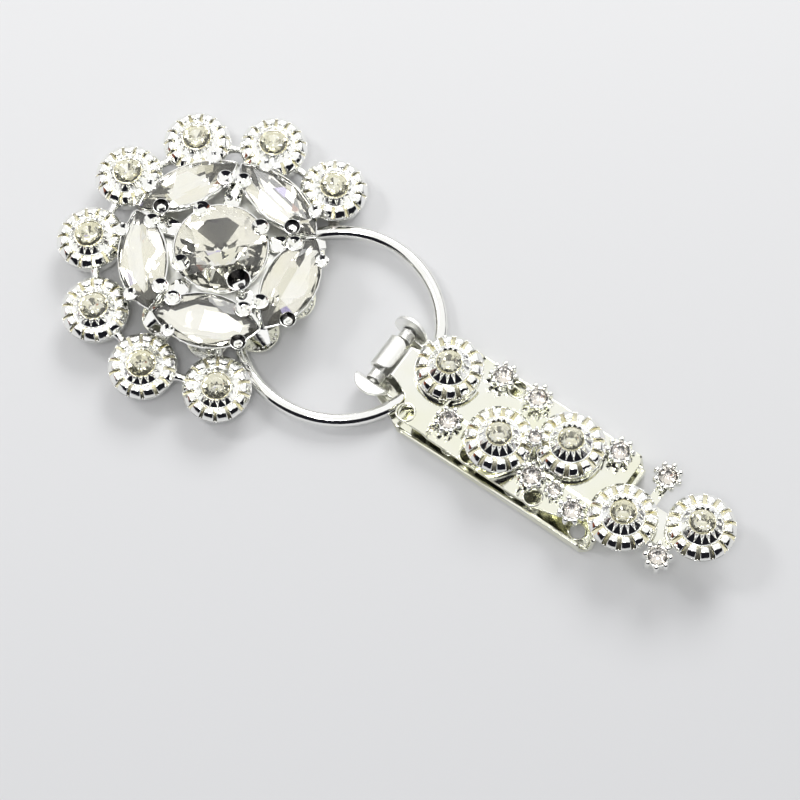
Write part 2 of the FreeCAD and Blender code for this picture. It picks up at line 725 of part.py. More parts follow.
jaw_turn = Place(x=-size("pin_to_ring"), z=size("pin_height"), axis=Y_AXIS, angle=-size("upper_tilt"))
upper_jaw = jaw_turn * Place(x=size("pin_to_ring"), z=-size("pin_height"))
upper_near_top = neck_bottom + size("sheet_metal")
upper_far_top = upper_near_top - size("step_drop")


def round_tip_corners(body, feature, tip, half_width):
    # Rounds the upright edges at the two corners of the tip.
    names = []
    for index, edge in enumerate(feature.Shape.Edges, start=1):
        box = edge.BoundBox
        upright = box.ZLength > box.XLength + box.YLength
        if upright and abs(box.XMax - tip.value) < 0.001 and abs(abs(box.YMax) - half_width.value) < 0.001:
            names.append(f"Edge{index}")
    rounding = body.newObject("PartDesign::Fillet", body.Name + "_corners")
    rounding.Base = (feature, names)
    rounding.setExpression("Radius", size("corner_radius").text)
    return rounding


def lower_jaw():
    body = new_body("lower_jaw")
    sheet = size("sheet_metal")
    half_width = size("lower_half_width")
    tip = size("lower_length")
    back = -(size("pin_to_ring") + size("ear_radius") * JAW_BACK_SHARE)
    ear_half_span = size("ear_half_span")
    floor = new_sketch(body, "jaw_floor", "XY_Plane")
    add_polygon(floor, [
        (back, -ear_half_span),
        (-size("pin_to_ring"), -ear_half_span),
        (size("flare_end"), -half_width),
        (tip, -half_width),
        (tip, half_width),
        (size("flare_end"), half_width),
        (-size("pin_to_ring"), ear_half_span),
        (back, ear_half_span),
    ])
    floor_pad = pad(body, floor, sheet)
    doc.recompute()
    round_tip_corners(body, floor_pad, tip, half_width)
    flange_end = tip - size("corner_radius")
    for name, level in (("far_flange", -half_width), ("near_flange", half_width - sheet)):
        flange = new_sketch(body, name, "XZ_Plane", level)
        add_polygon(flange, [
            (size("flange_start"), 0),
            (flange_end, 0),
            (flange_end, size("flange_high")),
            (size("flange_start"), size("flange_low")),
        ])
        pad(body, flange, sheet)
    lip_top = (size("pin_height") + (tip + size("pin_to_ring")) * sine(size("upper_tilt"))
               + (upper_far_top - sheet - size("pin_height")) * cosine(size("upper_tilt")) - size("lip_gap"))
    lip = new_sketch(body, "tip_lip", "YZ_Plane", tip - sheet)
    lip_half_width = half_width - size("corner_radius")
    add_polygon(lip, [
        (-lip_half_width, 0),
        (lip_half_width, 0),
        (lip_half_width, lip_top),
        (-lip_half_width, lip_top),
    ])
    pad(body, lip, sheet)
    for name, level in (("far_ear", -ear_half_span), ("near_ear", ear_half_span - sheet)):
        ear = new_sketch(body, name, "XZ_Plane", level)
        add_circle(ear, -size("pin_to_ring"), size("pin_height"), size("ear_radius"))
        pad(body, ear, sheet)
    pin_hole = new_sketch(body, "ear_hole", "XZ_Plane")
    add_circle(pin_hole, -size("pin_to_ring"), size("pin_height"), size("pin_radius") + size("stone_clearance"))
    pocket_through(body, pin_hole)
    holes = new_sketch(body, "floor_holes", "XY_Plane")
    for number in range(STAMPED_HOLES):
        for side in (-1, 1):
            along = size("floor_hole_first") + size("floor_hole_pitch") * number
            add_circle(holes, along, size("floor_hole_side") * side, size("floor_hole_radius"))
    pocket_through(body, holes)


def hinge():
    pin = new_body("hinge_pin")
    half_length = size("ear_half_span") + size("pin_head_height") + size("stone_clearance")
    shoulder = half_length - size("pin_head_height")
    turned(pin, "pin_profile", [
        (0, -half_length),
        (size("pin_head_radius"), -half_length),
        (size("pin_head_radius"), -shoulder),
        (size("pin_radius"), -shoulder),
        (size("pin_radius"), shoulder),
        (size("pin_head_radius"), shoulder),
        (size("pin_head_radius"), half_length),
        (0, half_length),
    ])
    Place(x=-size("pin_to_ring"), z=size("pin_height"), axis=X_AXIS, angle=90).bind(pin)
    spring = new_body("torsion_spring")
    sheet = size("sheet_metal")
    wire = size("coil_wire")
    inner_end = size("barrel_half_length") + size("coil_end_gap")
    outer_end = size("ear_half_span") - sheet - size("coil_end_gap")
    leg_end = size("coil_leg") - size("pin_to_ring")
    leg_rest = sheet + size("stone_clearance")
    coil_bottom = size("pin_height") - size("coil_radius")
    starts = {"far": (-outer_end, -outer_end), "near": (inner_end, outer_end - wire)}
    for side, (coil_level, leg_level) in starts.items():
        coil = new_sketch(spring, side + "_coil", "XZ_Plane", coil_level)
        add_circle(coil, -size("pin_to_ring"), size("pin_height"), size("coil_radius"))
        pad(spring, coil, outer_end - inner_end)
        leg = new_sketch(spring, side + "_leg", "XZ_Plane", leg_level)
        add_polygon(leg, [
            (-size("pin_to_ring"), coil_bottom),
            (leg_end, leg_rest),
            (leg_end, leg_rest + wire),
            (-size("pin_to_ring"), coil_bottom + wire),
        ])
        pad(spring, leg, wire)
    doc.recompute()
    core = new_sketch(spring, "coil_core", "XZ_Plane")
    add_circle(core, -size("pin_to_ring"), size("pin_height"), size("coil_radius") - wire)
    pocket_through(spring, core)


def upper_jaw_plate():
    body = new_body("upper_jaw")
    sheet = size("sheet_metal")
    tip = size("upper_length")
    pin_x = -size("pin_to_ring")
    barrel_top = size("pin_height") + size("barrel_radius")
    neck_flat = pin_x + size("pin_to_ring") * NECK_START_SHARE
    step_start = size("step_start")
    step_end = step_start + size("step_length")
    profile = new_sketch(body, "jaw_profile", "XZ_Plane")
    add_polygon(profile, [
        (pin_x, barrel_top),
        (pin_x, barrel_top - sheet),
        (neck_flat, neck_bottom),
        (step_start, neck_bottom),
        (step_end, upper_far_top - sheet),
        (tip, upper_far_top - sheet),
        (tip, upper_far_top),
        (step_end, upper_far_top),
        (step_start, upper_near_top),
        (neck_flat, upper_near_top),
    ])
    sheet_pad = pad(body, profile, size("upper_half_width") * 2, midplane=True)
    doc.recompute()
    round_tip_corners(body, sheet_pad, tip, size("upper_half_width"))
    sides = new_sketch(body, "neck_sides", "XY_Plane")
    outside = size("upper_half_width") + sheet
    shoulder = size("neck_half_width") * NECK_FLARE_SHARE
    behind = pin_x - size("barrel_radius") - sheet
    for side in (-1, 1):
        add_polygon(sides, [
            (behind, size("neck_half_width") * side),
            (neck_flat, size("neck_half_width") * side),
            (size("upper_start"), shoulder * side),
            (size("upper_start"), outside * side),
            (behind, outside * side),
        ])
    pocket_through(body, sides)
    barrel = new_sketch(body, "barrel", "XZ_Plane")
    add_circle(barrel, pin_x, size("pin_height"), size("barrel_radius"))
    pad(body, barrel, size("barrel_half_length") * 2, midplane=True)
    bore = new_sketch(body, "barrel_bore", "XZ_Plane")
    add_circle(bore, pin_x, size("pin_height"), size("pin_radius") + size("pin_clearance"))
    pocket_through(body, bore)
    holes = new_sketch(body, "plate_holes", "XY_Plane")
    for number in range(STAMPED_HOLES):
        for side in (-1, 1):
            along = size("stamp_first") + size("stamp_pitch") * number
            add_circle(holes, along, size("stamp_side") * side, size("stamp_radius"))
    pocket_through(body, holes)
    upper_jaw.bind(body)


def backing_strip():
    body = new_body("backing_strip")
    thickness = size("step_drop")
    start = size("step_start") + size("step_length") + size("link_clearance")
    strip = new_sketch(body, "strip", "XY_Plane")
    add_polygon(strip, [
        (start, -size("strip_half_width")),
        (size("strip_end"), -size("strip_half_width")),
        (size("strip_end"), size("strip_half_width")),
        (start, size("strip_half_width")),
    ])
    pad(body, strip, thickness)
    for number in range(CUPS_ON_PLATE + 1, CONE_CUP_COUNT + 1):
        spot = new_sketch(body, f"cup_pad_{number}", "XY_Plane")
        add_circle(spot, *spot_of(f"cup_{number}"), size("strip_pad_radius"))
        pad(body, spot, thickness)
    for number in range(1, STRIP_CHATONS + 1):
        along, across = spot_of(f"outer_chaton_{number}")
        arm = new_sketch(body, f"arm_{number}", "XY_Plane")
        half_arm = size("arm_width") / 2
        add_polygon(arm, [
            (along - half_arm, 0),
            (along + half_arm, 0),
            (along + half_arm, across),
            (along - half_arm, across),
        ])
        pad(body, arm, thickness)
        spot = new_sketch(body, f"accent_pad_{number}", "XY_Plane")
        add_circle(spot, along, across, size("accent_foot_radius"))
        pad(body, spot, thickness)
    (upper_jaw * Place(z=upper_far_top)).bind(body)


def cone_cups():
    form = new_body("cone_cup_form", is_node=False)
    seat_radius = size("cone_stone_radius") + size("stone_clearance")
    seat_top = size("cone_top_height") - size("seat_depth")
    corners = [
        (0, 0),
        (size("cone_foot_radius"), 0),
        (size("cone_wall_radius"), size("cone_bowl_height")),
        (size("cone_wall_radius"), size("cone_wall_height")),
        (size("cup_radius"), size("cone_wall_height")),
        (size("cup_radius"), size("cone_rim_height")),
        (size("cone_crown_radius"), size("cone_crown_height")),
        (seat_radius + size("seat_land"), size("cone_top_height")),
        (seat_radius, size("cone_top_height")),
        (seat_radius, seat_top),
        (0, seat_top - size("cone_stone_pavilion") - size("seat_land")),
    ]
    turned(form, "cone_cup_profile", corners)
    doc.recompute()
    cut_ribs(form, size("cone_crown_radius"), size("cone_crown_height"), size("cone_rim_height"))
    stone = chaton_form("cone_stone_form", size("cone_stone_radius"), size("cone_stone_crown"),
                        size("cone_stone_pavilion"))
    for number in range(1, CONE_CUP_COUNT + 1):
        along, across = spot_of(f"cup_{number}")
        seat = upper_jaw * Place(x=along, y=across, z=upper_near_top)
        copy_of(form, f"clip_cup_{number}", seat)
        copy_of(stone, f"clip_stone_{number}", seat * Place(z=seat_top))


def accent_forms(name, scale):
    radius = size("accent_radius") * scale
    height = size("accent_height") * scale
    stone_radius = radius - size("seat_land") - size("stone_clearance")
    pavilion = size("cone_stone_pavilion") * scale
    seat_top = height - size("seat_depth")
    form = new_body(name + "_setting_form", is_node=False)
    turned(form, name + "_profile", [
        (0, 0),
        (size("accent_foot_radius") * scale, 0),
        (radius, height * CHATON_BELLY_SHARE),
        (radius, height),
        (stone_radius + size("stone_clearance"), height),
        (stone_radius + size("stone_clearance"), seat_top),
        (0, seat_top - pavilion - size("seat_land")),
    ])
    stone = chaton_form(name + "_stone_form", stone_radius, size("cone_stone_crown") * scale, pavilion)
    return form, stone, seat_top


def accents():
    large = accent_forms("accent", as_size(1))
    small = accent_forms("small_accent", size("valley_scale"))
    on_rims = upper_near_top + size("cone_rim_height") + size("valley_rise")
    second, third = spot_of("cup_2"), spot_of("cup_3")
    between_rims = ((second[0] + third[0]) / 2, (second[1] + third[1]) / 2)
    spots = [(small, spot_of("valley_chaton"), upper_far_top), (small, between_rims, on_rims)]
    for number in range(1, PLATE_CHATONS + 1):
        spots.append((large, spot_of(f"chaton_{number}"), upper_far_top))
    for number in range(1, STRIP_CHATONS + 1):
        spots.append((large, spot_of(f"outer_chaton_{number}"), upper_near_top))
    settings = []
    stones = []
    for number, ((form, stone, seat_top), (along, across), level) in enumerate(spots, start=1):
        seat = Place(x=along, y=across, z=level)
        settings.append(copy_of(form, f"accent_setting_{number}", seat, is_node=False))
        stones.append(copy_of(stone, f"accent_stone_{number}", seat * Place(z=seat_top), is_node=False))
    for name, pieces in (("accent_settings", settings), ("accent_stones", stones)):
        group = doc.addObject("Part::Compound", name)
        group.Label = name
        group.Links = pieces
        upper_jaw.bind(group)
        nodes.append(group)


def check_and_export():
    for item in doc.Objects:
        if "Invalid" in item.State or "Error" in item.State:
            raise RuntimeError(f"{item.Label} failed: {item.State}")
    os.makedirs("parts", exist_ok=True)
    for node in nodes:
        if node.Shape.isNull() or not node.Shape.isValid() or node.Shape.Volume <= 0:
            raise RuntimeError(f"{node.Label} has no valid solid")
    for node in nodes:
        node.Shape.exportStep(f"parts/{node.Label}.step")
        box = node.Shape.BoundBox
        print(f"{node.Label}: {len(node.Shape.Solids)} solid(s), {node.Shape.Volume:.2f} mm3,"
              f" z {box.ZMin:.2f} to {box.ZMax:.2f}")


base_plate()
rim_cups()
rim_links()
navettes()
centre()
ring_and_solder()
lower_jaw()
hinge()
upper_jaw_plate()
backing_strip()
cone_cups()
accents()
doc.recompute()
check_and_export()
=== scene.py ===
from math import asin, atan2, copysign, cos, pi, radians, sin, sqrt, tan

import bmesh
import bpy
from mathutils import Matrix, Vector


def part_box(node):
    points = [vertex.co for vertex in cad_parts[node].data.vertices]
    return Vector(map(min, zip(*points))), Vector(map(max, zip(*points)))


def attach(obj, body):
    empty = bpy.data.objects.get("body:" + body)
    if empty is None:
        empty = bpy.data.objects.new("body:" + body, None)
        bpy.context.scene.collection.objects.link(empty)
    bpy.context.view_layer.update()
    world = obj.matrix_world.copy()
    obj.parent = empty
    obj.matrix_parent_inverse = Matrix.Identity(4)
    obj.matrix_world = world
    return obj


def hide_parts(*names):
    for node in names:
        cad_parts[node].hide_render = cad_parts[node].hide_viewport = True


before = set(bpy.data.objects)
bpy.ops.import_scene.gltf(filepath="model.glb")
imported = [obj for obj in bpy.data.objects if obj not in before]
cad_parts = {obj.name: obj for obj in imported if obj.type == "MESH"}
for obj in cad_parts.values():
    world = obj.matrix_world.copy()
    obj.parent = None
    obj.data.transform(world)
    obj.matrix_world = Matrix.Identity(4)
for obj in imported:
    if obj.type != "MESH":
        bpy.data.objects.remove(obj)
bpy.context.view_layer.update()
mm = 0.001
fullTurn = 2 * pi
up = Vector((0, 0, 1))
here = Matrix.Identity(4)
print("frame loaded")


# places read from the frame

def boxMiddle(node):
    low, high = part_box(node)
    return (low + high) / 2


def surfaceMiddle(faces):
    # middle of a surface from the (centre, area) pairs of its faces
    area = sum(size for spot, size in faces)
    return sum((spot * size for spot, size in faces), Vector()) / area


def frameMatrix(origin, forward, axis):
    axis = axis.normalized()
    side = axis.cross(forward).normalized()
    forward = side.cross(axis)
    matrix = Matrix((forward, side, axis)).transposed().to_4x4()
    matrix.translation = origin
    return matrix


def seatOn(axis, forward, middle, points):
    # a piece's own frame: Z up its axis, the origin at its lowest level
    lowest = min(point.dot(axis) for point in points)
    return frameMatrix(middle + axis * (lowest - middle.dot(axis)), forward, axis)


def nodeSeat(node, axis, forward):
    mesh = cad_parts[node].data
    middle = surfaceMiddle([(face.center, face.area) for face in mesh.polygons])
    return seatOn(axis, forward, middle, [vertex.co for vertex in mesh.vertices])


def solidsOf(node):
    # the middle and the points of each separate solid in a node
    work = bmesh.new()
    work.from_mesh(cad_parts[node].data)
    bmesh.ops.remove_doubles(work, verts=work.verts, dist=0.001 * mm)
    left = set(work.verts)
    solids = []
    for first in list(work.verts):
        if first not in left:
            continue
        left.remove(first)
        heap = [first]
        solid = []
        while heap:
            vertex = heap.pop()
            solid.append(vertex)
            for edge in vertex.link_edges:
                other = edge.other_vert(vertex)
                if other in left:
                    left.remove(other)
                    heap.append(other)
        faces = dict.fromkeys(face for vertex in solid for face in vertex.link_faces)
        middle = surfaceMiddle([(face.calc_center_median(), face.calc_area()) for face in faces])
        solids.append((middle, [vertex.co.copy() for vertex in solid]))
    work.free()
    return solids


def solidSeats(node, axis, forward):
    # the frame and the reach of each separate solid in a node
    seats = []
    for middle, points in solidsOf(node):
        reach = max((point - middle - axis * (point - middle).dot(axis)).length for point in points)
        seats.append((seatOn(axis, forward, middle, points), reach))
    return seats


leans = {"cups": 5.0, "navettes": 20.0, "upperJaw": 1.5}  # degrees
flowerMiddle = boxMiddle("flower_base_plate")
ringMiddle = boxMiddle("ring")
pinMiddle = boxMiddle("hinge_pin")
flowerForward = Vector((ringMiddle.x - flowerMiddle.x, ringMiddle.y - flowerMiddle.y, 0)).normalized()
flowerSeat = frameMatrix(Vector((flowerMiddle.x, flowerMiddle.y, 0)), flowerForward, up)
jawTurn = Matrix.Translation(pinMiddle) @ Matrix.Rotation(-radians(leans["upperJaw"]), 4, "Y")
jawTurn = jawTurn @ Matrix.Translation(-pinMiddle)
jawForward = (jawTurn.to_3x3() @ Vector((1, 0, 0))).normalized()
jawUp = (jawTurn.to_3x3() @ up).normalized()
cupCount = 8
navetteCount = 5
coneCount = 5


def awayFromMiddle(spot):
    outward = spot - flowerMiddle
    outward.z = 0
    return outward.normalized()


def leaningSeat(node, lean):
    outward = awayFromMiddle(boxMiddle(node))
    lean = radians(lean)
    return nodeSeat(node, up * cos(lean) + outward * sin(lean), outward)


# finishes

usualCloud = 300.0  # scale of the cloudy tint


def linked(name, data):
    item = bpy.data.objects.new(name, data)
    bpy.context.scene.collection.objects.link(item)
    return item


def addNode(tree, kind, values=(), **settings):
    # settings are the node's own, values go to its inputs
    node = tree.nodes.new(kind)
    for name, value in settings.items():
        setattr(node, name, value)
    for label, value in dict(values).items():
        node.inputs[label].default_value = value
    return node


def wire(tree, *pairs):
    # each pair is (from node, its output, to node, its input)
    for source, output, target, entry in pairs:
        tree.links.new(source.outputs[output], target.inputs[entry])


def newGroup(name, kind, inputs, outputs):
    group = bpy.data.node_groups.new(name, kind + "NodeTree")
    for label, sort, *value in inputs:
        socket = group.interface.new_socket(label, in_out="INPUT", socket_type="NodeSocket" + sort)
        if value:
            socket.default_value = value[0]
    for label, sort in outputs:
        group.interface.new_socket(label, in_out="OUTPUT", socket_type="NodeSocket" + sort)
    return group


def buildPlateGroup():
    # colour, gloss and height of bright plating: cloudy tint and fine pits
    group = newGroup("brightPlating", "Shader", [
        ("Bright", "Color", (0.95, 0.94, 0.9, 1)), ("Warm", "Color", (0.9, 0.88, 0.75, 1)),
        ("Cloud Scale", "Float", usualCloud), ("Pit Scale", "Float", 2500.0), ("Gloss", "Float", 0.05),
        ("Dull", "Float", 0.12)], [("Color", "Color"), ("Roughness", "Float"), ("Height", "Float")])
    inner = addNode(group, "NodeGroupInput")
    outer = addNode(group, "NodeGroupOutput")
    place = addNode(group, "ShaderNodeTexCoord")
    cloud = addNode(group, "ShaderNodeTexNoise", {"Detail": 3.0})
    pits = addNode(group, "ShaderNodeTexNoise", {"Detail": 4.0})
    tint = addNode(group, "ShaderNodeMix", data_type="RGBA")
    spread = addNode(group, "ShaderNodeMapRange", {"From Min": 0.35, "From Max": 0.7})
    gloss = addNode(group, "ShaderNodeMix", data_type="FLOAT")
    wire(group, (place, "Object", cloud, "Vector"), (place, "Object", pits, "Vector"),
         (inner, "Cloud Scale", cloud, "Scale"), (inner, "Pit Scale", pits, "Scale"),
         (cloud, "Fac", spread, "Value"), (spread, "Result", tint, "Factor"), (inner, "Bright", tint, "A"),
         (inner, "Warm", tint, "B"), (pits, "Fac", gloss, "Factor"), (inner, "Gloss", gloss, "A"),
         (inner, "Dull", gloss, "B"), (tint, "Result", outer, "Color"),
         (gloss, "Result", outer, "Roughness"), (pits, "Fac", outer, "Height"))
    return group


plateGroup = buildPlateGroup()

platings = {  # bright colour, warm colour, gloss, dull
    "platedCasting": ((0.965, 0.965, 0.95), (0.94, 0.94, 0.89), 0.03, 0.08),
    # darker, warmer plating: painted shade in the cups' recesses
    "paintedRecessShade": ((0.86, 0.83, 0.66), (0.74, 0.69, 0.45), 0.12, 0.25),
    "platedSheet": ((0.92, 0.92, 0.87), (0.88, 0.88, 0.72), 0.06, 0.14),
    "ringWire": ((0.96, 0.96, 0.94), (0.94, 0.94, 0.9), 0.04, 0.1),
    "springWire": ((0.95, 0.95, 0.93), (0.92, 0.92, 0.88), 0.25, 0.4),
    "satinPlating": ((0.96, 0.96, 0.94), (0.94, 0.94, 0.89), 0.3, 0.44),
    # near-black plating: a painted dark reflection on the wall inside some claw tips
    "paintedDarkReflection": ((0.03, 0.03, 0.035), (0.07, 0.065, 0.06), 0.15, 0.3),
    "solderTin": ((0.66, 0.65, 0.62), (0.4, 0.37, 0.32), 0.18, 0.42),
    "stoneFoil": ((0.99, 0.98, 0.94), (0.98, 0.965, 0.88), 0.0, 0.01),
    "warmFoil": ((0.96, 0.95, 0.88), (0.94, 0.92, 0.76), 0.0, 0.02),
}
cloudScales = {"platedSheet": 90.0}  # the others keep the usual one
foilMetal = 0.92  # a foil scatters a little light
pitDepth = 0.02  # millimetres; foils have none
crystals = {"crystal": ((1, 1, 1, 1), (0.95, 0.95, 0.9, 1)),
            "rosyCrystal": ((1, 0.98, 0.98, 1), (0.93, 0.88, 0.92, 1))}  # clear and tinted colour


def newMaterial(name):
    material = bpy.data.materials.new(name)
    material.use_nodes = True
    return material, material.node_tree, material.node_tree.nodes["Principled BSDF"]


def platedFinish(name):
    foil = "Foil" in name
    bright, warm, gloss, dull = platings[name]
    material, tree, shader = newMaterial(name)
    shader.inputs["Metallic"].default_value = foilMetal if foil else 1.0
    plating = addNode(tree, "ShaderNodeGroup", node_tree=plateGroup)
    for label, value in (("Bright", bright + (1,)), ("Warm", warm + (1,)), ("Gloss", gloss), ("Dull", dull),
                         ("Cloud Scale", cloudScales.get(name, usualCloud))):
        plating.inputs[label].default_value = value
    bump = addNode(tree, "ShaderNodeBump", {"Strength": 0.5, "Distance": 0.0 if foil else pitDepth * mm})
    wire(tree, (plating, "Color", shader, "Base Color"), (plating, "Roughness", shader, "Roughness"),
         (plating, "Height", bump, "Height"), (bump, "Normal", shader, "Normal"))
    return material


def crystalFinish(name):
    # clear glass with a faint drift of colour through it
    clear, tinted = crystals[name]
    material, tree, shader = newMaterial(name)
    shader.inputs["Transmission Weight"].default_value = 1.0
    shader.inputs["Roughness"].default_value = 0.0
    shader.inputs["IOR"].default_value = 1.56
    place = addNode(tree, "ShaderNodeTexCoord")
    drift = addNode(tree, "ShaderNodeTexNoise", {"Scale": 260.0})
    tint = addNode(tree, "ShaderNodeMix", {"A": clear, "B": tinted}, data_type="RGBA")
    wire(tree, (place, "Object", drift, "Vector"), (drift, "Fac", tint, "Factor"),
         (tint, "Result", shader, "Base Color"))
    return material


finishes = {name: platedFinish(name) for name in platings}
finishes.update({name: crystalFinish(name) for name in crystals})
print("finishes made")


# mesh helpers

crispAngle = 30.0  # edges sharper than this stay sharp
softAngle = 80.0


def around(radius, angle):
    return radius * cos(angle), radius * sin(angle)


def circleLoop(x, y, radius, steps=32, extra=0):
    # a loop for a turned section has one extra point, which closes it
    loop = []
    for step in range(steps + extra):
        outX, outY = around(radius, fullTurn * step / steps)
        loop.append((x + outX, y + outY))
    return loop


def newMesh(name, points, faces, finish):
    mesh = bpy.data.meshes.new(name)
    mesh.from_pydata([tuple(point) for point in points], [], faces)
    mesh.materials.append(finishes[finish])
    return mesh


def tidied(mesh, sharpAngle):
    # merged, facing outwards, smooth up to sharpAngle
    work = bmesh.new()
    work.from_mesh(mesh)
    bmesh.ops.remove_doubles(work, verts=work.verts, dist=0.002 * mm)
    bmesh.ops.dissolve_degenerate(work, edges=work.edges, dist=0.001 * mm)
    bmesh.ops.recalc_face_normals(work, faces=work.faces)
    work.to_mesh(mesh)
    work.free()
    mesh.shade_smooth()
    mesh.set_sharp_from_angle(angle=radians(sharpAngle))
    return mesh


def rounded(corners, reach, steps=3, closed=False):
    # each corner becomes a small curve that starts and ends at most reach away
    corners = [Vector(corner) for corner in corners]
    shaped = []
    for index, corner in enumerate(corners):
        if not closed and index in (0, len(corners) - 1):
            shaped.append(corner)
            continue
        ends = []
        for other in (corners[index - 1], corners[(index + 1) % len(corners)]):
            gap = other - corner
            ends.append(corner + gap.normalized() * min(reach, gap.length * 0.45))
        for step in range(steps + 1):
            part = step / steps
            middle = corner * (2 * part * (1 - part))
            shaped.append(ends[0] * (1 - part) ** 2 + middle + ends[1] * part ** 2)
    return [tuple(spot) for spot in shaped]


def turned(name, profile, steps, finish="platedCasting", sharpAngle=38.0):
    # a closed shape turned round Z; profile runs from the bottom of the axis to its top
    points = []
    faces = []
    rows = []
    for radius, level in profile:
        if radius < 1e-6:
            rows.append([len(points)])
            points.append((0, 0, level * mm))
            continue
        rows.append(list(range(len(points), len(points) + steps)))
        for step in range(steps):
            points.append((*around(radius * mm, fullTurn * step / steps), level * mm))
    for lower, upper in zip(rows, rows[1:]):
        for step in range(steps):
            following = (step + 1) % steps
            corners = [lower[step % len(lower)], lower[following % len(lower)],
                       upper[following % len(upper)], upper[step % len(upper)]]
            corners = list(dict.fromkeys(corners))
            if len(corners) > 2:
                faces.append(corners)
    return tidied(newMesh(name, points, faces, finish), sharpAngle)


def lofted(name, rings, finish="platedCasting", sharpAngle=38.0):
    # closed skin over rings of equally many points, in millimetres, capped at both ends
    count = len(rings[0])
    points = [Vector(point) * mm for ring in rings for point in ring]
    faces = [list(range(count))[::-1], [len(points) - count + step for step in range(count)]]
    for row in range(len(rings) - 1):
        for step in range(count):
            following = (step + 1) % count
            faces.append([row * count + step, row * count + following,
                          (row + 1) * count + following, (row + 1) * count + step])
    return tidied(newMesh(name, points, faces, finish), sharpAngle)


def tubeAlong(name, path, radii, sides, finish="platedCasting"):
    # a round wire through a path in millimetres, its ends closed
    path = [Vector(point) for point in path]
    rings = []
    guide = None
    for index, spot in enumerate(path):
        ahead = (path[min(index + 1, len(path) - 1)] - path[max(index - 1, 0)]).normalized()
        if guide is None:
            guide = ahead.orthogonal().normalized()
        guide = (guide - ahead * guide.dot(ahead)).normalized()
        other = ahead.cross(guide)
        radius = radii[index] if isinstance(radii, list) else radii
        rings.append([spot + (guide * cos(fullTurn * step / sides)
                              + other * sin(fullTurn * step / sides)) * radius for step in range(sides)])
    return lofted(name, rings, finish)


def cutStone(name, points, finish, foil):
    # flat facets over a cut stone's corners; those under the girdle are foiled
    work = bmesh.new()
    for point in points:
        work.verts.new(Vector(point) * mm)
    bmesh.ops.convex_hull(work, input=work.verts)
    bmesh.ops.dissolve_limit(work, angle_limit=radians(0.5), verts=work.verts, edges=work.edges)
    bmesh.ops.recalc_face_normals(work, faces=work.faces)
    for face in work.faces:
        face.material_index = 1 if face.normal.z < -0.05 else 0
    mesh = bpy.data.meshes.new(name)
    work.to_mesh(mesh)
    work.free()
    mesh.materials.append(finishes[finish])
    mesh.materials.append(finishes[foil])
    mesh.shade_flat()
    return mesh


def joined(name, *parts):
    # one mesh from (mesh, matrix) pairs, keeping each part's finish
    work = bmesh.new()
    kept = []
    for mesh, matrix in parts:
        part = mesh.copy()
        part.transform(matrix)
        start = len(work.faces)
        work.from_mesh(part)
        for material in part.materials:
            if material not in kept:
                kept.append(material)
        order = [kept.index(material) for material in part.materials]
        work.faces.ensure_lookup_table()
        for index in range(start, len(work.faces)):
            face = work.faces[index]
            face.material_index = order[face.material_index]
        bpy.data.meshes.remove(part)
    result = bpy.data.meshes.new(name)
    work.to_mesh(result)
    work.free()
    for material in kept:
        result.materials.append(material)
    return result


def addPiece(name, mesh, body, slot, *replaced):
    piece = linked(name, mesh)
    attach(piece, body)
    if replaced:
        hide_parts(*replaced)


def buildCircleTree():
    # repeats a shape round Z: Count copies, the first at First, then one every Step
    tree = newGroup("roundTheAxis", "Geometry", [
        ("Geometry", "Geometry"), ("Count", "Int", 12), ("First", "Float", 0.0), ("Step", "Float", 0.5),
        ("Finish", "Material")], [("Geometry", "Geometry")])
    start, end, spots, number, turn, copies, real, finish = [addNode(tree, kind) for kind in (
        "NodeGroupInput", "NodeGroupOutput", "GeometryNodePoints", "GeometryNodeInputIndex",
        "ShaderNodeCombineXYZ", "GeometryNodeInstanceOnPoints", "GeometryNodeRealizeInstances",
        "GeometryNodeSetMaterial")]
    angle = addNode(tree, "ShaderNodeMath", operation="MULTIPLY_ADD")
    wire(tree, (start, "Count", spots, "Count"), (number, "Index", angle, 0), (start, "Step", angle, 1),
         (start, "First", angle, 2), (angle, "Value", turn, "Z"), (spots, "Points", copies, "Points"),
         (start, "Geometry", copies, "Instance"), (turn, "Vector", copies, "Rotation"),
         (copies, "Instances", real, "Geometry"), (real, "Geometry", finish, "Geometry"),
         (start, "Finish", finish, "Material"), (finish, "Geometry", end, "Geometry"))
    return tree


circleTree = buildCircleTree()


def grownMesh(item):
    # what the modifiers and curves of an object make; the object goes
    mesh = bpy.data.meshes.new_from_object(item.evaluated_get(bpy.context.evaluated_depsgraph_get()))
    bpy.data.objects.remove(item)
    return mesh


def roundTheAxis(name, mesh, count, first=0.0, step=None):
    seed = linked(name, mesh)
    modifier = seed.modifiers.new(name, "NODES")
    modifier.node_group = circleTree
    wanted = {"Count": count, "First": first, "Step": fullTurn / count if step is None else step,
              "Finish": finishes["platedCasting"]}
    for item in circleTree.interface.items_tree:
        if item.in_out == "INPUT" and item.name in wanted:
            modifier[item.identifier] = wanted[item.name]
    return grownMesh(seed)


def ribAlong(name, profile, widths, section):
    # one rib over a profile of (radius, level); section gives (share of half-width, lift) pairs
    rings = []
    for index, (radius, level) in enumerate(profile):
        before = profile[max(index - 1, 0)]
        after = profile[min(index + 1, len(profile) - 1)]
        along = Vector((after[0] - before[0], after[1] - before[1])).normalized()
        outX, outZ = -along.y, along.x
        if outX * radius < 0 and outZ < 0:
            outX, outZ = -outX, -outZ
        half = widths[index]
        rings.append([(radius + outX * lift, share * half, level + outZ * lift)
                      for share, lift in section(half)])
    return lofted(name, rings, sharpAngle=50.0)


def paddedSection(half):
    edge = min(0.13, half * 0.4)
    side = [(1, -0.5), (1, -edge), (1 - edge * 0.35 / half, -edge * 0.35), (1 - edge * 1.1 / half, 0)]
    return [(-share, lift) for share, lift in side] + [(0, 0.03)] + side[::-1]


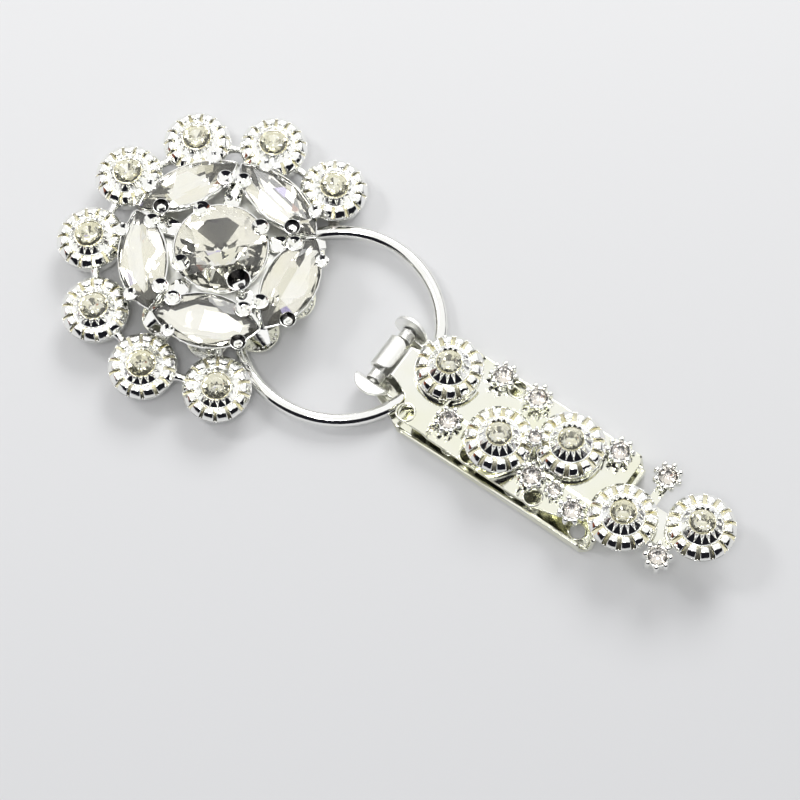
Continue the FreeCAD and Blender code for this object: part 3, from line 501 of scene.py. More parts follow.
def ridgeSection(half):
    return [(-1, -0.15), (-1, 0), (-0.12, half * 0.95), (0.12, half * 0.95), (1, 0), (1, -0.15)]


def bead(name, radius, spot):
    ball = turned(name, [(radius * sin(pi * step / 6), -radius * cos(pi * step / 6))
                         for step in range(7)], 8, sharpAngle=softAngle)
    ball.transform(Matrix.Translation(Vector(spot) * mm))
    return ball


# cups: a bowl, a ring of padded blocks, then a spiked cone up to the stone

rimCup = {"bowl": [(2.4, 0), (3.9, 0.3), (4.75, 1.5), (4.9, 2.5), (5.0, 3.2), (5.2, 4.0)],
          "blocks": 14, "blockShare": 0.74,
          "blockLine": [(3.36, 4.8), (3.4, 5.0), (3.62, 5.3), (3.78, 5.4), (4.1, 5.45), (4.38, 5.42),
                        (4.5, 5.35), (4.58, 5.27), (5.14, 4.71), (5.24, 4.5), (5.29, 4.25), (5.29, 3.95)],
          "lip": (5.29, 4.12, 0.09), "lipBead": (5.22, 4.22, 0.15), "wire": (3.32, 4.95, 0.07),
          "spikes": 16, "coneFoot": (3.3, 4.92), "coneTop": (2.3, 5.74), "stone": 2.08, "cut": (0.68, 0.95),
          "twist": 0.7}
coneCup = {"bowl": [(3.2, 0), (4.6, 0.15), (5.05, 0.8), (5.2, 1.55)], "blocks": 14, "blockShare": 0.66,
           "blockLine": [(3.36, 2.5), (3.42, 2.72), (3.62, 3.0), (3.78, 3.1), (4.1, 3.14), (4.42, 3.08),
                         (4.54, 3.01), (4.62, 2.93), (5.16, 2.39), (5.25, 2.18), (5.3, 1.9), (5.3, 1.45)],
           "lip": (5.3, 1.66, 0.09), "lipBead": (5.23, 1.78, 0.15), "wire": (3.3, 2.78, 0.08),
           "spikes": 16, "coneFoot": (3.26, 2.72), "coneTop": (2.06, 4.3), "stone": 1.83,
           "cut": (0.65, 0.85), "twist": 0.9}
stoneSink = 0.02  # girdle below the top of the cone
spikeLine = [(-0.03, 0.9), (0.1, 1.0), (0.35, 0.72), (0.6, 0.42), (0.85, 0.14)]  # way down, width


def wireRing(name, circle, level, radius):
    return turned(name, circleLoop(circle, level, radius, 8, 1), 72, sharpAngle=softAngle)


def buildCup(name, size):
    foot = Vector(size["coneFoot"])
    top = Vector(size["coneTop"])
    stone = size["stone"]
    lipCircle, lipLevel, lipRadius = size["lip"]
    wireCircle, wireLevel, wireRadius = size["wire"]
    bowl = [(0, 0)] + rounded(size["bowl"], 0.7, 4)
    bowl += [(lipCircle, lipLevel - 0.1), (lipCircle, lipLevel + 0.04), (foot.x, foot.y), tuple(top)]
    bowl += [(top.x - 0.04, top.y + 0.02), (top.x - 0.1, top.y), (stone + 0.02, top.y - 0.06),
             (stone - 0.04, top.y - 0.2), (0.3, top.y - 1.7), (0, top.y - 1.7)]
    body = turned(name + "Bowl", bowl, 70, sharpAngle=crispAngle)
    # the band between the blocks and the collar under the stone are painted darker and warmer: painted shade
    # in the recesses
    inner = wireCircle + 0.05
    band = [(inner, foot.y - 0.5), (lipCircle - 0.06, lipLevel - 0.3), (lipCircle - 0.05, lipLevel + 0.12),
            (lipCircle - 0.26, lipLevel + 0.27), (inner, foot.y - 0.03), (inner, foot.y - 0.5)]
    floor = turned(name + "Gaps", band, 70, "paintedRecessShade", crispAngle)
    seatWall = [(stone - 0.2, top.y - 0.3), (stone - 0.01, top.y - 0.05), (top.x - 0.08, top.y + 0.035),
                (top.x - 0.04, top.y), (stone - 0.2, top.y - 0.3)]
    collar = turned(name + "Collar", seatWall, 48, "paintedRecessShade", crispAngle)
    half = tan(pi / size["blocks"]) * size["blockShare"]
    line = size["blockLine"]
    block = ribAlong(name + "Block", line, [radius * half for radius, level in line], paddedSection)
    blocks = roundTheAxis(name + "Blocks", block, size["blocks"])
    beadCircle, beadLevel, beadRadius = size["lipBead"]
    dot = bead(name + "Bead", beadRadius, (beadCircle, 0, beadLevel))
    dots = roundTheAxis(name + "Beads", dot, size["blocks"], pi / size["blocks"])
    widest = top.x * tan(pi / size["spikes"]) * 0.92
    line = [tuple(top.lerp(foot, share)) for share, width in spikeLine]
    spike = ribAlong(name + "Spike", line, [widest * width for share, width in spikeLine], ridgeSection)
    spikes = roundTheAxis(name + "Spikes", spike, size["spikes"])
    lip = wireRing(name + "Lip", lipCircle, lipLevel, lipRadius)
    wound = wireRing(name + "Wire", wireCircle, wireLevel, wireRadius)
    return joined(name, *[(part, here) for part in (body, floor, collar, blocks, dots, spikes, lip, wound)])


brilliant = {"girdle": 0.06, "star": (0.8, 0.58), "lower": (0.55, 0.52),
             "culet": 0.08}  # girdle in millimetres, the rest shares of radius and depth


def roundCut(radius, crown, pavilion, sides, table=0.55):
    # corners of a brilliant cut with its girdle at level 0
    starShare, starRise = brilliant["star"]
    lowerShare, lowerDrop = brilliant["lower"]
    points = []
    for step in range(sides):
        angle = fullTurn * step / sides
        half = angle + pi / sides
        points.append((*around(radius * table, half), crown))
        points.append((*around(radius * starShare, angle), crown * starRise))
        for turn in (angle, half):
            points += [(*around(radius, turn), brilliant["girdle"] * side) for side in (1, -1)]
        points.append((*around(radius * lowerShare, half), -pavilion * lowerDrop))
    for step in range(sides):
        points.append((*around(radius * brilliant["culet"], fullTurn * step / sides), -pavilion))
    return points


def addCups(kind, label, size, seats, body):
    # one cup and one stone in each seat; kind is in the pieces' names, label in the meshes'
    cup = buildCup(label + "Cup", size)
    stone = cutStone(label + "Stone", roundCut(size["stone"], *size["cut"], 8), "crystal", "warmFoil")
    lift = Matrix.Translation((0, 0, (size["coneTop"][1] - stoneSink) * mm))
    for number, seat in enumerate(seats, 1):
        turn = Matrix.Rotation(number * size["twist"], 4, "Z")
        addPiece(f"{kind}_cup_look_{number}", joined(label + "Cup", (cup, seat @ turn)), body,
                 "plated_casting", f"{kind}_cup_{number}")
        addPiece(f"{kind}_stone_look_{number}", joined(label + "Stone", (stone, seat @ lift @ turn)), body,
                 "crystal", f"{kind}_stone_{number}")


rimSeats = [leaningSeat(f"rim_cup_{number}", leans["cups"]) for number in range(1, cupCount + 1)]
addCups("rim", "rim", rimCup, rimSeats, "flower")
print("rim cups made")
coneSeats = [nodeSeat(f"clip_cup_{number}", jawUp, jawForward) for number in range(1, coneCount + 1)]
addCups("clip", "cone", coneCup, coneSeats, "upper_jaw")
print("cone cups made")

# small chatons: a little bowl with eight bead-tipped claws round a stone

chaton = {"claws": 8, "radius": 2.3, "stone": 1.36, "cut": (0.55, 0.8), "table": 0.5, "girdle": 2.1,
          "twist": 0.4,
          "bowl": [(0, 0), (1.0, 0), (1.2, 0.12), (1.6, 1.0), (1.72, 1.5), (1.66, 1.95), (1.5, 2.0),
                   (0, 1.2)],
          "clawPath": [(1.0, 0, 0.2), (1.7, 0, 0.6), (1.98, 0, 1.2), (2.0, 0, 1.8), (1.86, 0, 2.2)],
          "clawRadii": [0.28, 0.36, 0.42, 0.42, 0.4], "tip": 0.5, "tipSpot": (1.88, 0, 2.26)}


def buildChaton():
    body = turned("chatonBowl", chaton["bowl"], 32, sharpAngle=crispAngle)
    claw = joined("chatonClaw", (tubeAlong("clawWire", chaton["clawPath"], chaton["clawRadii"], 8), here),
                  (bead("clawTip", chaton["tip"], chaton["tipSpot"]), here))
    return joined("chaton", (body, here), (roundTheAxis("chatonClaws", claw, chaton["claws"]), here))


def addChatons():
    setting = buildChaton()
    cut = roundCut(chaton["stone"], *chaton["cut"], 6, chaton["table"])
    stone = cutStone("chatonStone", cut, "rosyCrystal", "stoneFoil")
    settings = []
    stones = []
    for number, (seat, reach) in enumerate(solidSeats("accent_settings", jawUp, jawForward)):
        size = Matrix.Scale(reach / (chaton["radius"] * mm), 4)
        lift = Matrix.Translation((0, 0, chaton["girdle"] * reach / chaton["radius"]))
        turn = Matrix.Rotation(number * chaton["twist"], 4, "Z")
        settings.append((setting, seat @ turn @ size))
        stones.append((stone, seat @ lift @ turn @ size))
    addPiece("claw_chatons", joined("clawChatons", *settings), "upper_jaw", "plated_casting",
             "accent_settings")
    addPiece("chaton_stones", joined("chatonStones", *stones), "upper_jaw", "crystal", "accent_stones")


addChatons()
print("small chatons made")

# navettes: long pointed stones in trays with four claws, each on a ball foot

navette = {"halfLength": 8.25, "halfWidth": 4.0, "keel": 0.36, "girdle": 0.08, "pavilion": 2.6,
           "crown": [(0.86, 0.76, 0.744, 4), (0.74, 0.5, 1.2, 3)],  # length, width, level, points
           "points": 14, "clawAlong": 5.6, "clawOut": 0.35, "clawTips": [1.1, 1.1, 1.3, 1.3],
           # claw tips whose dish wall carries a painted dark reflection
           "darkReflectionClaws": [(1, 1), (2, 3), (3, 2), (5, 0)],  # stone and claw
           "cuts": [1.2, 2.39, 2.3, 1.0, 0.6],  # depth of each stone
           "tray": [(0.75, 0.55, -1, -0.5, 0), (0.9, 0.8, -0.75, 0, 0), (1, 1, 0, -0.5, 0.3),
                    (1, 1, 0, 0.02, 0.3), (1, 1, 0, 0.14, 0.18), (1, 1, 0, 0.1, 0.06),
                    (1, 1, 0, -0.12, 0.03), (0.8, 0.72, -0.58, 0, 0),
                    (0.5, 0.2, -1, -0.05, 0)],  # length, width, share of the depth, level, extra
           "foot": [(0, -6.9), (0.9, -6.75), (1.4, -6.2), (1.5, -5.5), (1.3, -4.8), (1.0, -4.2),
                    (0.95, -3.2), (1.3, -2.7), (0, -2.6)],
           "prong": [(0.75, 0.95, -1.6), (1.02, 1, -0.6), (1.08, 1, 0.2), (1.0, 0.99, 0.5)],
           "prongRadii": [0.4, 0.45, 0.5, 0.5]}


def navetteRing(lengthShare, widthShare, level, extra=0.0, points=None):
    # two shallow arcs that meet in a point at each end
    count = points or navette["points"]
    halfLength = navette["halfLength"] * lengthShare + extra
    halfWidth = navette["halfWidth"] * widthShare + extra
    arc = (halfLength ** 2 + halfWidth ** 2) / (2 * halfWidth)
    ring = []
    for side in (1, -1):
        for step in range(count):
            along = halfLength * cos(pi * step / count) * side
            across = (sqrt(arc ** 2 - along ** 2) - (arc - halfWidth)) * side
            ring.append((across, along, level))
    return ring


def buildNavetteStone(depth):
    girdle = navette["girdle"]
    points = navetteRing(1, 1, girdle, 0, 6) + navetteRing(1, 1, -girdle, 0, 6)
    for lengthShare, widthShare, level, count in navette["crown"]:
        points += navetteRing(lengthShare, widthShare, level, 0, count)
    points += [(0, navette["halfLength"] * navette["keel"] * end, -depth) for end in (1, -1)]
    return cutStone("navetteStone", points, "crystal", "stoneFoil")


def navetteClawSpots():
    half = navette["halfLength"]
    width = navette["halfWidth"]
    arc = (half ** 2 + width ** 2) / (2 * width)
    across = sqrt(arc ** 2 - navette["clawAlong"] ** 2) - (arc - width) + navette["clawOut"]
    return [(side * across, end * navette["clawAlong"]) for side in (1, -1) for end in (1, -1)]


def buildNavetteTray():
    depth = navette["pavilion"]
    rings = [navetteRing(lengthShare, widthShare, depth * part + level, extra)
             for lengthShare, widthShare, part, level, extra in navette["tray"]]
    parts = [(lofted("navetteTray", rings), here),
             (turned("navetteFoot", navette["foot"], 32, sharpAngle=softAngle), here)]
    for outX, along in navetteClawSpots():
        path = [(outX * x, along * y, level) for x, y, level in navette["prong"]]
        parts.append((tubeAlong("navetteProng", path, navette["prongRadii"], 10), here))
    return joined("navetteSetting", *parts)


clawTip = {"rim": [(0, -0.55), (0.55, -0.5), (0.85, -0.25), (0.97, 0.08), (1, 0.24), (0.99, 0.33),
                   (0.95, 0.37), (0.92, 0.36)],  # share of the tip's radius, level
           "button": [(0.53, 0.36), (0.49, 0.345), (0.3, 0.38), (0, 0.4)], "depth": 0.4,
           "shift": (0.07, -0.1, 0), "buttonReach": 0.6, "darkReach": 0.85}


def clawDish(tip, inside="platedCasting"):
    # rounded claw tip, countersunk off centre, with a small flat button at the bottom
    wall = tip * clawTip["depth"]
    profile = [(tip * share, level) for share, level in clawTip["rim"]]
    profile += [(tip * share, level - wall) for share, level in clawTip["button"]]
    mesh = turned("clawDish", profile, 40, sharpAngle=crispAngle)
    button = tip * clawTip["buttonReach"] * mm
    for vertex in mesh.vertices:
        if vertex.co.z > -0.45 * mm and vertex.co.xy.length < button:
            vertex.co += Vector(clawTip["shift"]) * tip * mm
    # the countersink wall takes the inside finish; a near-black inside finish there is a painted dark
    # reflection
    mesh.materials.append(finishes[inside])
    for face in mesh.polygons:
        if face.center.z > -0.2 * mm and button < face.center.xy.length < tip * clawTip["darkReach"] * mm:
            face.material_index = 1
    return mesh


navetteTrayMesh = buildNavetteTray()
for number in range(1, navetteCount + 1):
    seat = leaningSeat(f"navette_stone_{number}", leans["navettes"])
    girdle = seat @ Matrix.Translation((0, 0, navette["pavilion"] * mm))
    parts = [(navetteTrayMesh, girdle)]
    for claw, (outX, along) in enumerate(navetteClawSpots()):
        spot = girdle @ (Vector((outX * 0.92, along * 0.98, 0.5)) * mm)
        # some navette claw tips get a painted dark reflection on their dish wall
        dark = (number, claw) in navette["darkReflectionClaws"]
        tip = navette["clawTips"][2 if dark else claw]
        parts.append((clawDish(tip, "paintedDarkReflection" if dark else "platedCasting"), Matrix.Translation(spot)))
    addPiece(f"navette_setting_look_{number}", joined("navetteSetting", *parts), "flower", "plated_casting",
             f"navette_setting_{number}")
    stone = buildNavetteStone(navette["cuts"][number - 1])
    addPiece(f"navette_stone_look_{number}", joined("navetteStone", (stone, girdle)), "flower",
             "crystal", f"navette_stone_{number}")
print("navettes made")

# centre stone in its basket

centre = {"radius": 7.1, "girdle": 10.0, "crown": 2.15, "pavilion": 3.25, "firstClaw": -36.0,
          "clawTips": [1.9, 1.4, 1.4, 1.45], "clawCircle": 7.4, "clawLevel": 10.8, "firstCut": 36.0,
          "table": 0.6, "star": (0.84, 0.5), "lower": (0.97, -0.28), "halfGirdle": 0.08, "basketFoot": 0.3,
          "basket": [(3.0, 5.2), (3.3, 6.1), (5.4, 7.9), (7.3, 9.2), (7.5, 9.5), (7.5, 9.9), (7.4, 10.0),
                     (7.2, 9.98), (7.12, 9.8), (5.0, 8.2), (2.4, 6.4), (0, 6.3)],
          "shelf": [(5.2, 7.5), (9.6, 7.0), (11.8, 6.5), (12.0, 6.6), (11.9, 6.8), (9.6, 7.35), (5.2, 7.95)],
          "prong": [(7.0, 0, 8.6), (7.6, 0, 9.4), (7.62, 0, 10.2), (7.3, 0, 10.7)],
          "prongRadii": [0.42, 0.45, 0.5, 0.5],
          "web": [(7.3, 8.6), (8.2, 8.75), (9.8, 8.45), (11.4, 8.0), (12.8, 7.5), (14.4, 6.9), (16.2, 6.0)],
          "webWidths": [0.9, 1.35, 1.5, 1.2, 1.0, 1.1, 0.7]}


def buildCentre():
    low = boxMiddle("flower_base_plate").z / mm + centre["basketFoot"]
    basket = [(0, low), (3.2, low), (3.0, low + 0.4)] + centre["basket"]
    shelf = turned("centreShelf", centre["shelf"] + centre["shelf"][:1], 64, "satinPlating")
    parts = [(turned("centreBasket", basket, 64), flowerSeat), (shelf, flowerSeat)]
    prong = tubeAlong("centreProng", centre["prong"], centre["prongRadii"], 10)
    for number, tip in enumerate(centre["clawTips"]):
        turn = flowerSeat @ Matrix.Rotation(radians(centre["firstClaw"] + 90 * number), 4, "Z")
        spot = turn @ (Vector((centre["clawCircle"] - tip * 0.45, 0, centre["clawLevel"])) * mm)
        # the first centre claw gets a painted dark reflection on its dish wall
        dish = clawDish(tip, "platedCasting" if number else "paintedDarkReflection")
        parts += [(prong, turn), (dish, Matrix.Translation(spot))]
    web = ribAlong("cornerWeb", centre["web"], centre["webWidths"], paddedSection)
    for number in range(navetteCount):
        parts.append((web, flowerSeat @ Matrix.Rotation(fullTurn * (number + 0.5) / navetteCount, 4, "Z")))
    addPiece("centre_basket", joined("centreBasket", *parts), "flower", "plated_casting", "centre_setting")
    radius = centre["radius"]
    crown = centre["crown"]
    starShare, starRise = centre["star"]
    lowerShare, lowerLevel = centre["lower"]
    cuts = []
    for step in range(8):
        angle = radians(centre["firstCut"]) + fullTurn * step / 8
        half = angle + pi / 8
        for quarter in range(4):
            spot = around(radius, angle + pi / 16 * quarter)
            cuts += [(*spot, centre["halfGirdle"] * side) for side in (1, -1)]
        for turn, share, level in ((half, centre["table"], crown), (angle, starShare, crown * starRise),
                                   (angle, lowerShare, lowerLevel)):
            cuts.append((*around(radius * share, turn), level))
    cuts.append((0, 0, -centre["pavilion"]))
    stone = cutStone("centreStone", cuts, "crystal", "stoneFoil")
    lift = flowerSeat @ Matrix.Translation((0, 0, centre["girdle"] * mm))
    addPiece("centre_crystal", joined("centreStone", (stone, lift)), "flower", "crystal", "centre_stone")


buildCentre()
print("centre made")

# base plate: a scalloped sheet with beaded lobes and a hole in each

basePlate = {"radius": 12.6, "lobes": 10, "lobeRadius": 3.4, "holeRadius": 0.95, "holeCircle": 13.4,
             "beads": 12, "beadRadius": 0.27, "beadInset": 0.55, "beadLevel": 0.26,
             "beadSweep": 0.92, "edge": 0.08}  # beadSweep: share of half a turn


def cutSheet(name, outline, holes, thickness, edge, finish="platedSheet"):
    # a flat plate with rounded edges, its middle at level 0
    curve = bpy.data.curves.new(name, "CURVE")
    curve.dimensions = "2D"
    curve.fill_mode = "BOTH"
    curve.extrude = (thickness / 2 - edge) * mm
    curve.bevel_depth = edge * mm
    curve.bevel_resolution = 2
    curve.offset = -edge * mm
    for loop in [outline] + holes:
        spline = curve.splines.new("POLY")
        spline.points.add(len(loop) - 1)
        for point, spot in zip(spline.points, loop):
            point.co = (spot[0] * mm, spot[1] * mm, 0, 1)
        spline.use_cyclic_u = True
    flat = grownMesh(linked(name, curve))
    flat.materials.clear()
    flat.materials.append(finishes[finish])
    return tidied(flat, 35.0)


def scallopedOutline():
    radius = basePlate["radius"]
    lobe = basePlate["lobeRadius"]
    meet = 2 * asin(lobe / (2 * radius))  # where a lobe crosses the disc's edge
    reach = pi / 2 + meet / 2
    outline = []
    for number in range(basePlate["lobes"]):
        middle = fullTurn * number / basePlate["lobes"]
        x, y = around(radius, middle)
        for step in range(17):
            outX, outY = around(lobe, middle - reach + 2 * reach * step / 16)
            outline.append((x + outX, y + outY))
    return outline


def buildBasePlate():
    low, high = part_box("flower_base_plate")
    level = (low.z + high.z) / 2
    lobes = basePlate["lobes"]
    holes = [circleLoop(*around(basePlate["holeCircle"], fullTurn * number / lobes),
                        basePlate["holeRadius"], 24) for number in range(lobes)]
    plate = cutSheet("basePlate", scallopedOutline(), holes, (high.z - low.z) / mm, basePlate["edge"])
    dot = bead("edgeBead", basePlate["beadRadius"],
               (basePlate["lobeRadius"] - basePlate["beadInset"], 0, basePlate["beadLevel"]))
    sweep = pi * basePlate["beadSweep"]
    dots = roundTheAxis("lobeBeads", dot, basePlate["beads"], -sweep / 2, sweep / (basePlate["beads"] - 1))
    dots.transform(Matrix.Translation((basePlate["radius"] * mm, 0, 0)))
    allDots = roundTheAxis("plateBeads", dots, lobes)
    place = flowerSeat @ Matrix.Translation((0, 0, level))
    addPiece("scalloped_plate", joined("scallopedPlate", (plate, place), (allDots, place)), "flower",
             "plated_sheet", "flower_base_plate")


buildBasePlate()
print("base plate made")

# links soldered between neighbouring cups and from each cup to the plate

linkBar = {-1.3: 1.5, -1: 1.5, -0.7: 1.25, -0.35: 1.1, 0: 1.05, 0.35: 1.1, 0.7: 1.25, 1: 1.5,
           1.3: 1.5}  # share of half the length: share of half the width


def buildLinks():
    parts = []
    for middle, points in solidsOf("rim_links"):
        outward = awayFromMiddle(middle)
        across = up.cross(outward)
        spans = [max(point.dot(way) for point in points) - min(point.dot(way) for point in points)
                 for way in (outward, across, up)]
        way, length = (outward, spans[0]) if spans[0] > spans[1] else (across, spans[1])
        middle = middle / mm
        half = length / 2 / mm
        wide = min(spans[0], spans[1]) / 2 / mm
        path = [middle + way * half * share for share in linkBar]
        parts.append((tubeAlong("linkBar", path, [wide * share for share in linkBar.values()], 14), here))
    addPiece("soldered_links", joined("solderedLinks", *parts), "flower", "plated_casting", "rim_links")


buildLinks()

# ring

ringLook = {"wire": 1.05, "sink": 0.1}  # sink: how far it hangs below the CAD ring's middle


def buildRing():
    low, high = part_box("ring")
    circle = (high.x - low.x) / 2 / mm - (high.z - low.z) / 2 / mm
    mesh = turned("ringWire", circleLoop(circle, 0, ringLook["wire"], 24, 1), 240, "ringWire", softAngle)
    mesh.transform(Matrix.Translation(ringMiddle - up * ringLook["sink"] * mm))
    addPiece("ring_wire", mesh, "ring", "plated_casting", "ring")


buildRing()

# hinge: pin and a wound spring; the rolled barrel and the ears come with the jaws

hinge = {"coilRadius": 1.3, "springWire": 0.16, "turns": 6.4, "coilFrom": 2.95, "coilTo": 4.95,
         "coilSteps": 18, "legEnd": 3.4, "legLevel": 0.9}
pinEnd = [(0, 0), (0.5, 0.03), (0.88, 0.2), (1.0, 0.42), (0.95, 0.5), (0.6, 0.55)]  # radius, depth


def buildPin():
    low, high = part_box("hinge_pin")
    half = (high.y - low.y) / 2 / mm
    profile = [(radius, -half + depth) for radius, depth in pinEnd]
    profile += [(radius, half - depth) for radius, depth in reversed(pinEnd)]
    mesh = turned("pivotPin", profile, 32, "springWire", 50.0)
    mesh.transform(Matrix.Translation(pinMiddle) @ Matrix.Rotation(pi / 2, 4, "X"))
    addPiece("pivot_pin", mesh, "lower_jaw", "spring_steel", "hinge_pin")


def buildSpring():
    parts = []
    middle = pinMiddle / mm
    thick = hinge["springWire"]
    radius = hinge["coilRadius"] - thick
    span = hinge["coilTo"] - hinge["coilFrom"] - 2 * thick
    for side in (-1, 1):
        path = []
        count = int(hinge["turns"] * hinge["coilSteps"])
        for step in range(count + 1):
            part = step / count
            angle = -pi / 2 - fullTurn * hinge["turns"] * part
            across = (hinge["coilFrom"] + thick + span * (1 - part)) * side
            path.append((middle.x + radius * cos(angle), across, middle.z + radius * sin(angle)))
        low = hinge["legLevel"]
        leg = [(middle.x + hinge["legEnd"] * share, path[0][1], low + (path[0][2] - low) * (1 - share) ** 1.5)
               for share in (1, 0.8, 0.6, 0.4, 0.2)]
        parts.append((tubeAlong("springCoil", leg + path, thick, 8, "springWire"), here))
    addPiece("wound_spring", joined("woundSpring", *parts), "lower_jaw", "spring_steel", "torsion_spring")


buildPin()
buildSpring()

# jaws: bent from flat cut sheet, the upper one with a rolled barrel

lowerJaw = {"sheet": 0.6, "edge": 0.1, "halfWidth": 8.9, "bendRadius": 0.7, "tip": 36.5, "back": -7.6,
            "satinEnd": -2.0, "flangeStart": 1.4, "flangeLow": 1.5, "flangeHigh": 2.9, "lipTop": 3.4,
            "corner": 1.7, "earRadius": 2.9, "earHole": 0.66, "earHalfSpan": 5.3, "earBend": (-0.3, 1.2),
            "earFlares": {-1: 72.0, 1: 14.0},  # earBend: start and radius; flares in degrees
            "rounding": (0.7, 3), "holeRadius": 1.2, "holeFirst": 9.6, "holeStep": 11.75, "holeSide": 6.2,
            "holes": 3}
upperJaw = {"sheet": 0.6, "edge": 0.1, "halfWidth": 8.3, "start": 0.2, "tip": 35.4, "stepStart": 5.4,
            "stepLength": 1.2, "nearBottom": 3.45, "farBottom": 2.65, "rounding": (1.6, 4),
            "barrelRadius": 2.05, "barrelHalf": 2.75, "neckBend": 0.45, "rollEnd": -318.0, "satinEnd": -2.6,
            "holeRadius": 1.3, "holeFirst": 1.5, "holeStep": 11.75, "holeSide": 6.6, "holes": 3,
            "nearTip": [(24.5, 8.1), (28.6, 7.4), (32.2, 6.0), (35.4, 3.2)]}


def satinBehind(mesh, place):
    # the hinge end of a sheet has a softer finish
    mesh.materials.append(finishes["satinPlating"])
    for face in mesh.polygons:
        if face.center.x < place * mm:
            face.material_index = 1
    return mesh


def slicedAndBent(mesh, slices, bend):
    # extra edges where the sheet bends, then each point moved; slices are (axis, place) in millimetres
    work = bmesh.new()
    work.from_mesh(mesh)
    for axis, place in slices:
        normal = Vector((1, 0, 0)) if axis == "x" else Vector((0, 1, 0))
        geometry = list(work.verts) + list(work.edges) + list(work.faces)
        bmesh.ops.bisect_plane(work, geom=geometry, plane_co=normal * place * mm, plane_no=normal, dist=1e-7)
    for vertex in work.verts:
        vertex.co = Vector(bend(*(vertex.co / mm))) * mm
    work.to_mesh(mesh)
    work.free()
    return tidied(mesh, 32.0)


def folded(distance, lift, start, radius):
    # a sheet that turns up through a right angle after start: (distance, lift) becomes (reach, height)
    if distance <= start:
        return distance, lift
    angle = min((distance - start) / radius, pi / 2)
    beyond = max(distance - start - radius * pi / 2, 0)
    return start + (radius - lift) * sin(angle), radius - (radius - lift) * cos(angle) + beyond


def holeSpots(sizes):
    return [(number, sizes["holeFirst"] + sizes["holeStep"] * number, sizes["holeSide"] * side)
            for number in range(sizes["holes"]) for side in (-1, 1)]


def stampedRings(sizes, levels):
    # a raised lip pressed up round each stamped hole
    edge = sizes["holeRadius"]
    lip = [(edge - 0.02, -0.2), (edge, 0.04), (edge + 0.08, 0.11), (edge + 0.2, 0.1), (edge + 0.32, 0.02),
           (edge + 0.34, -0.2), (edge - 0.02, -0.2)]
    ring = turned("stampedLip", lip, 36, "platedSheet", 60.0)
    return [(ring, Matrix.Translation(Vector((along, across, levels[number])) * mm))
            for number, along, across in holeSpots(sizes)]


def cutJawSheet(name, outline, size):
    holes = [circleLoop(along, across, size["holeRadius"], 28) for number, along, across in holeSpots(size)]
    outline = rounded(outline, *size["rounding"], True)
    return cutSheet(name, outline, holes, size["sheet"], size["edge"])


def buildLowerJaw():
    size = lowerJaw
    half = size["sheet"] / 2
    bend = size["bendRadius"]
    sideStart = size["halfWidth"] - half - bend
    tipStart = size["tip"] - half - bend
    base = half + bend  # height at the top of a bend
    quarter = bend * pi / 2
    lowEdge = sideStart + quarter + size["flangeLow"] - base
    highEdge = sideStart + quarter + size["flangeHigh"] - base
    lipEdge = tipStart + quarter + size["lipTop"] - base
    flangeEnd = size["tip"] - size["corner"]
    lipHalf = size["halfWidth"] - size["corner"]
    oneSide = [(size["back"], size["earHalfSpan"]), (pinMiddle.x / mm, size["earHalfSpan"]),
               (size["flangeStart"], size["halfWidth"] - 0.3), (size["flangeStart"] + 0.5, lowEdge),
               (flangeEnd, highEdge), (flangeEnd + 0.1, size["halfWidth"]), (size["tip"], lipHalf + 0.1),
               (lipEdge, lipHalf)]
    outline = oneSide + [(x, -y) for x, y in oneSide[::-1]]
    flat = cutJawSheet("lowerJaw", outline, size)
    steps = [share / 5 * quarter for share in range(6)]
    slices = [("x", tipStart + step) for step in steps]
    slices += [("y", (sideStart + step) * side) for step in steps for side in (-1, 1)]

    def bendSheet(x, y, z):
        reachY, heightY = folded(abs(y), z, sideStart, bend)
        reachX, heightX = folded(x, z, tipStart, bend)
        height = heightY if abs(y) > sideStart else heightX
        return reachX, copysign(reachY, y), height + half

    parts = [(satinBehind(slicedAndBent(flat, slices, bendSheet), size["satinEnd"]), here)]
    ear = cutSheet("hingeEar", circleLoop(0, 0, size["earRadius"], 48),
                   [circleLoop(0, 0, size["earHole"], 20)], size["sheet"], size["edge"], "satinPlating")
    start, radius = size["earBend"]
    for side, turn in ((-1, 0), (1, pi)):
        flare = radians(size["earFlares"][side])

        def bendEar(x, y, z):
            if y <= start:
                return x, y, z
            angle = min((y - start) / radius, flare)
            beyond = max(y - start - radius * flare, 0)
            out = radius * (1 - cos(angle)) + beyond * sin(angle) + z * cos(angle)
            return x, start + radius * sin(angle) + beyond * cos(angle) - z * sin(angle), out

        bends = [("y", start + radius * flare * step / 8) for step in range(9)]
        spot = Vector((pinMiddle.x, (size["earHalfSpan"] - 0.1) * side * mm, pinMiddle.z))
        place = Matrix.Translation(spot) @ Matrix.Rotation(turn, 4, "Z")
        place = place @ Matrix.Rotation(pi / 2, 4, "X")
        parts.append((slicedAndBent(ear.copy(), bends, bendEar), place))
    parts += stampedRings(size, [size["sheet"]] * size["holes"])
    addPiece("lower_jaw_sheet", joined("lowerJawSheet", *parts), "lower_jaw", "plated_sheet", "lower_jaw")


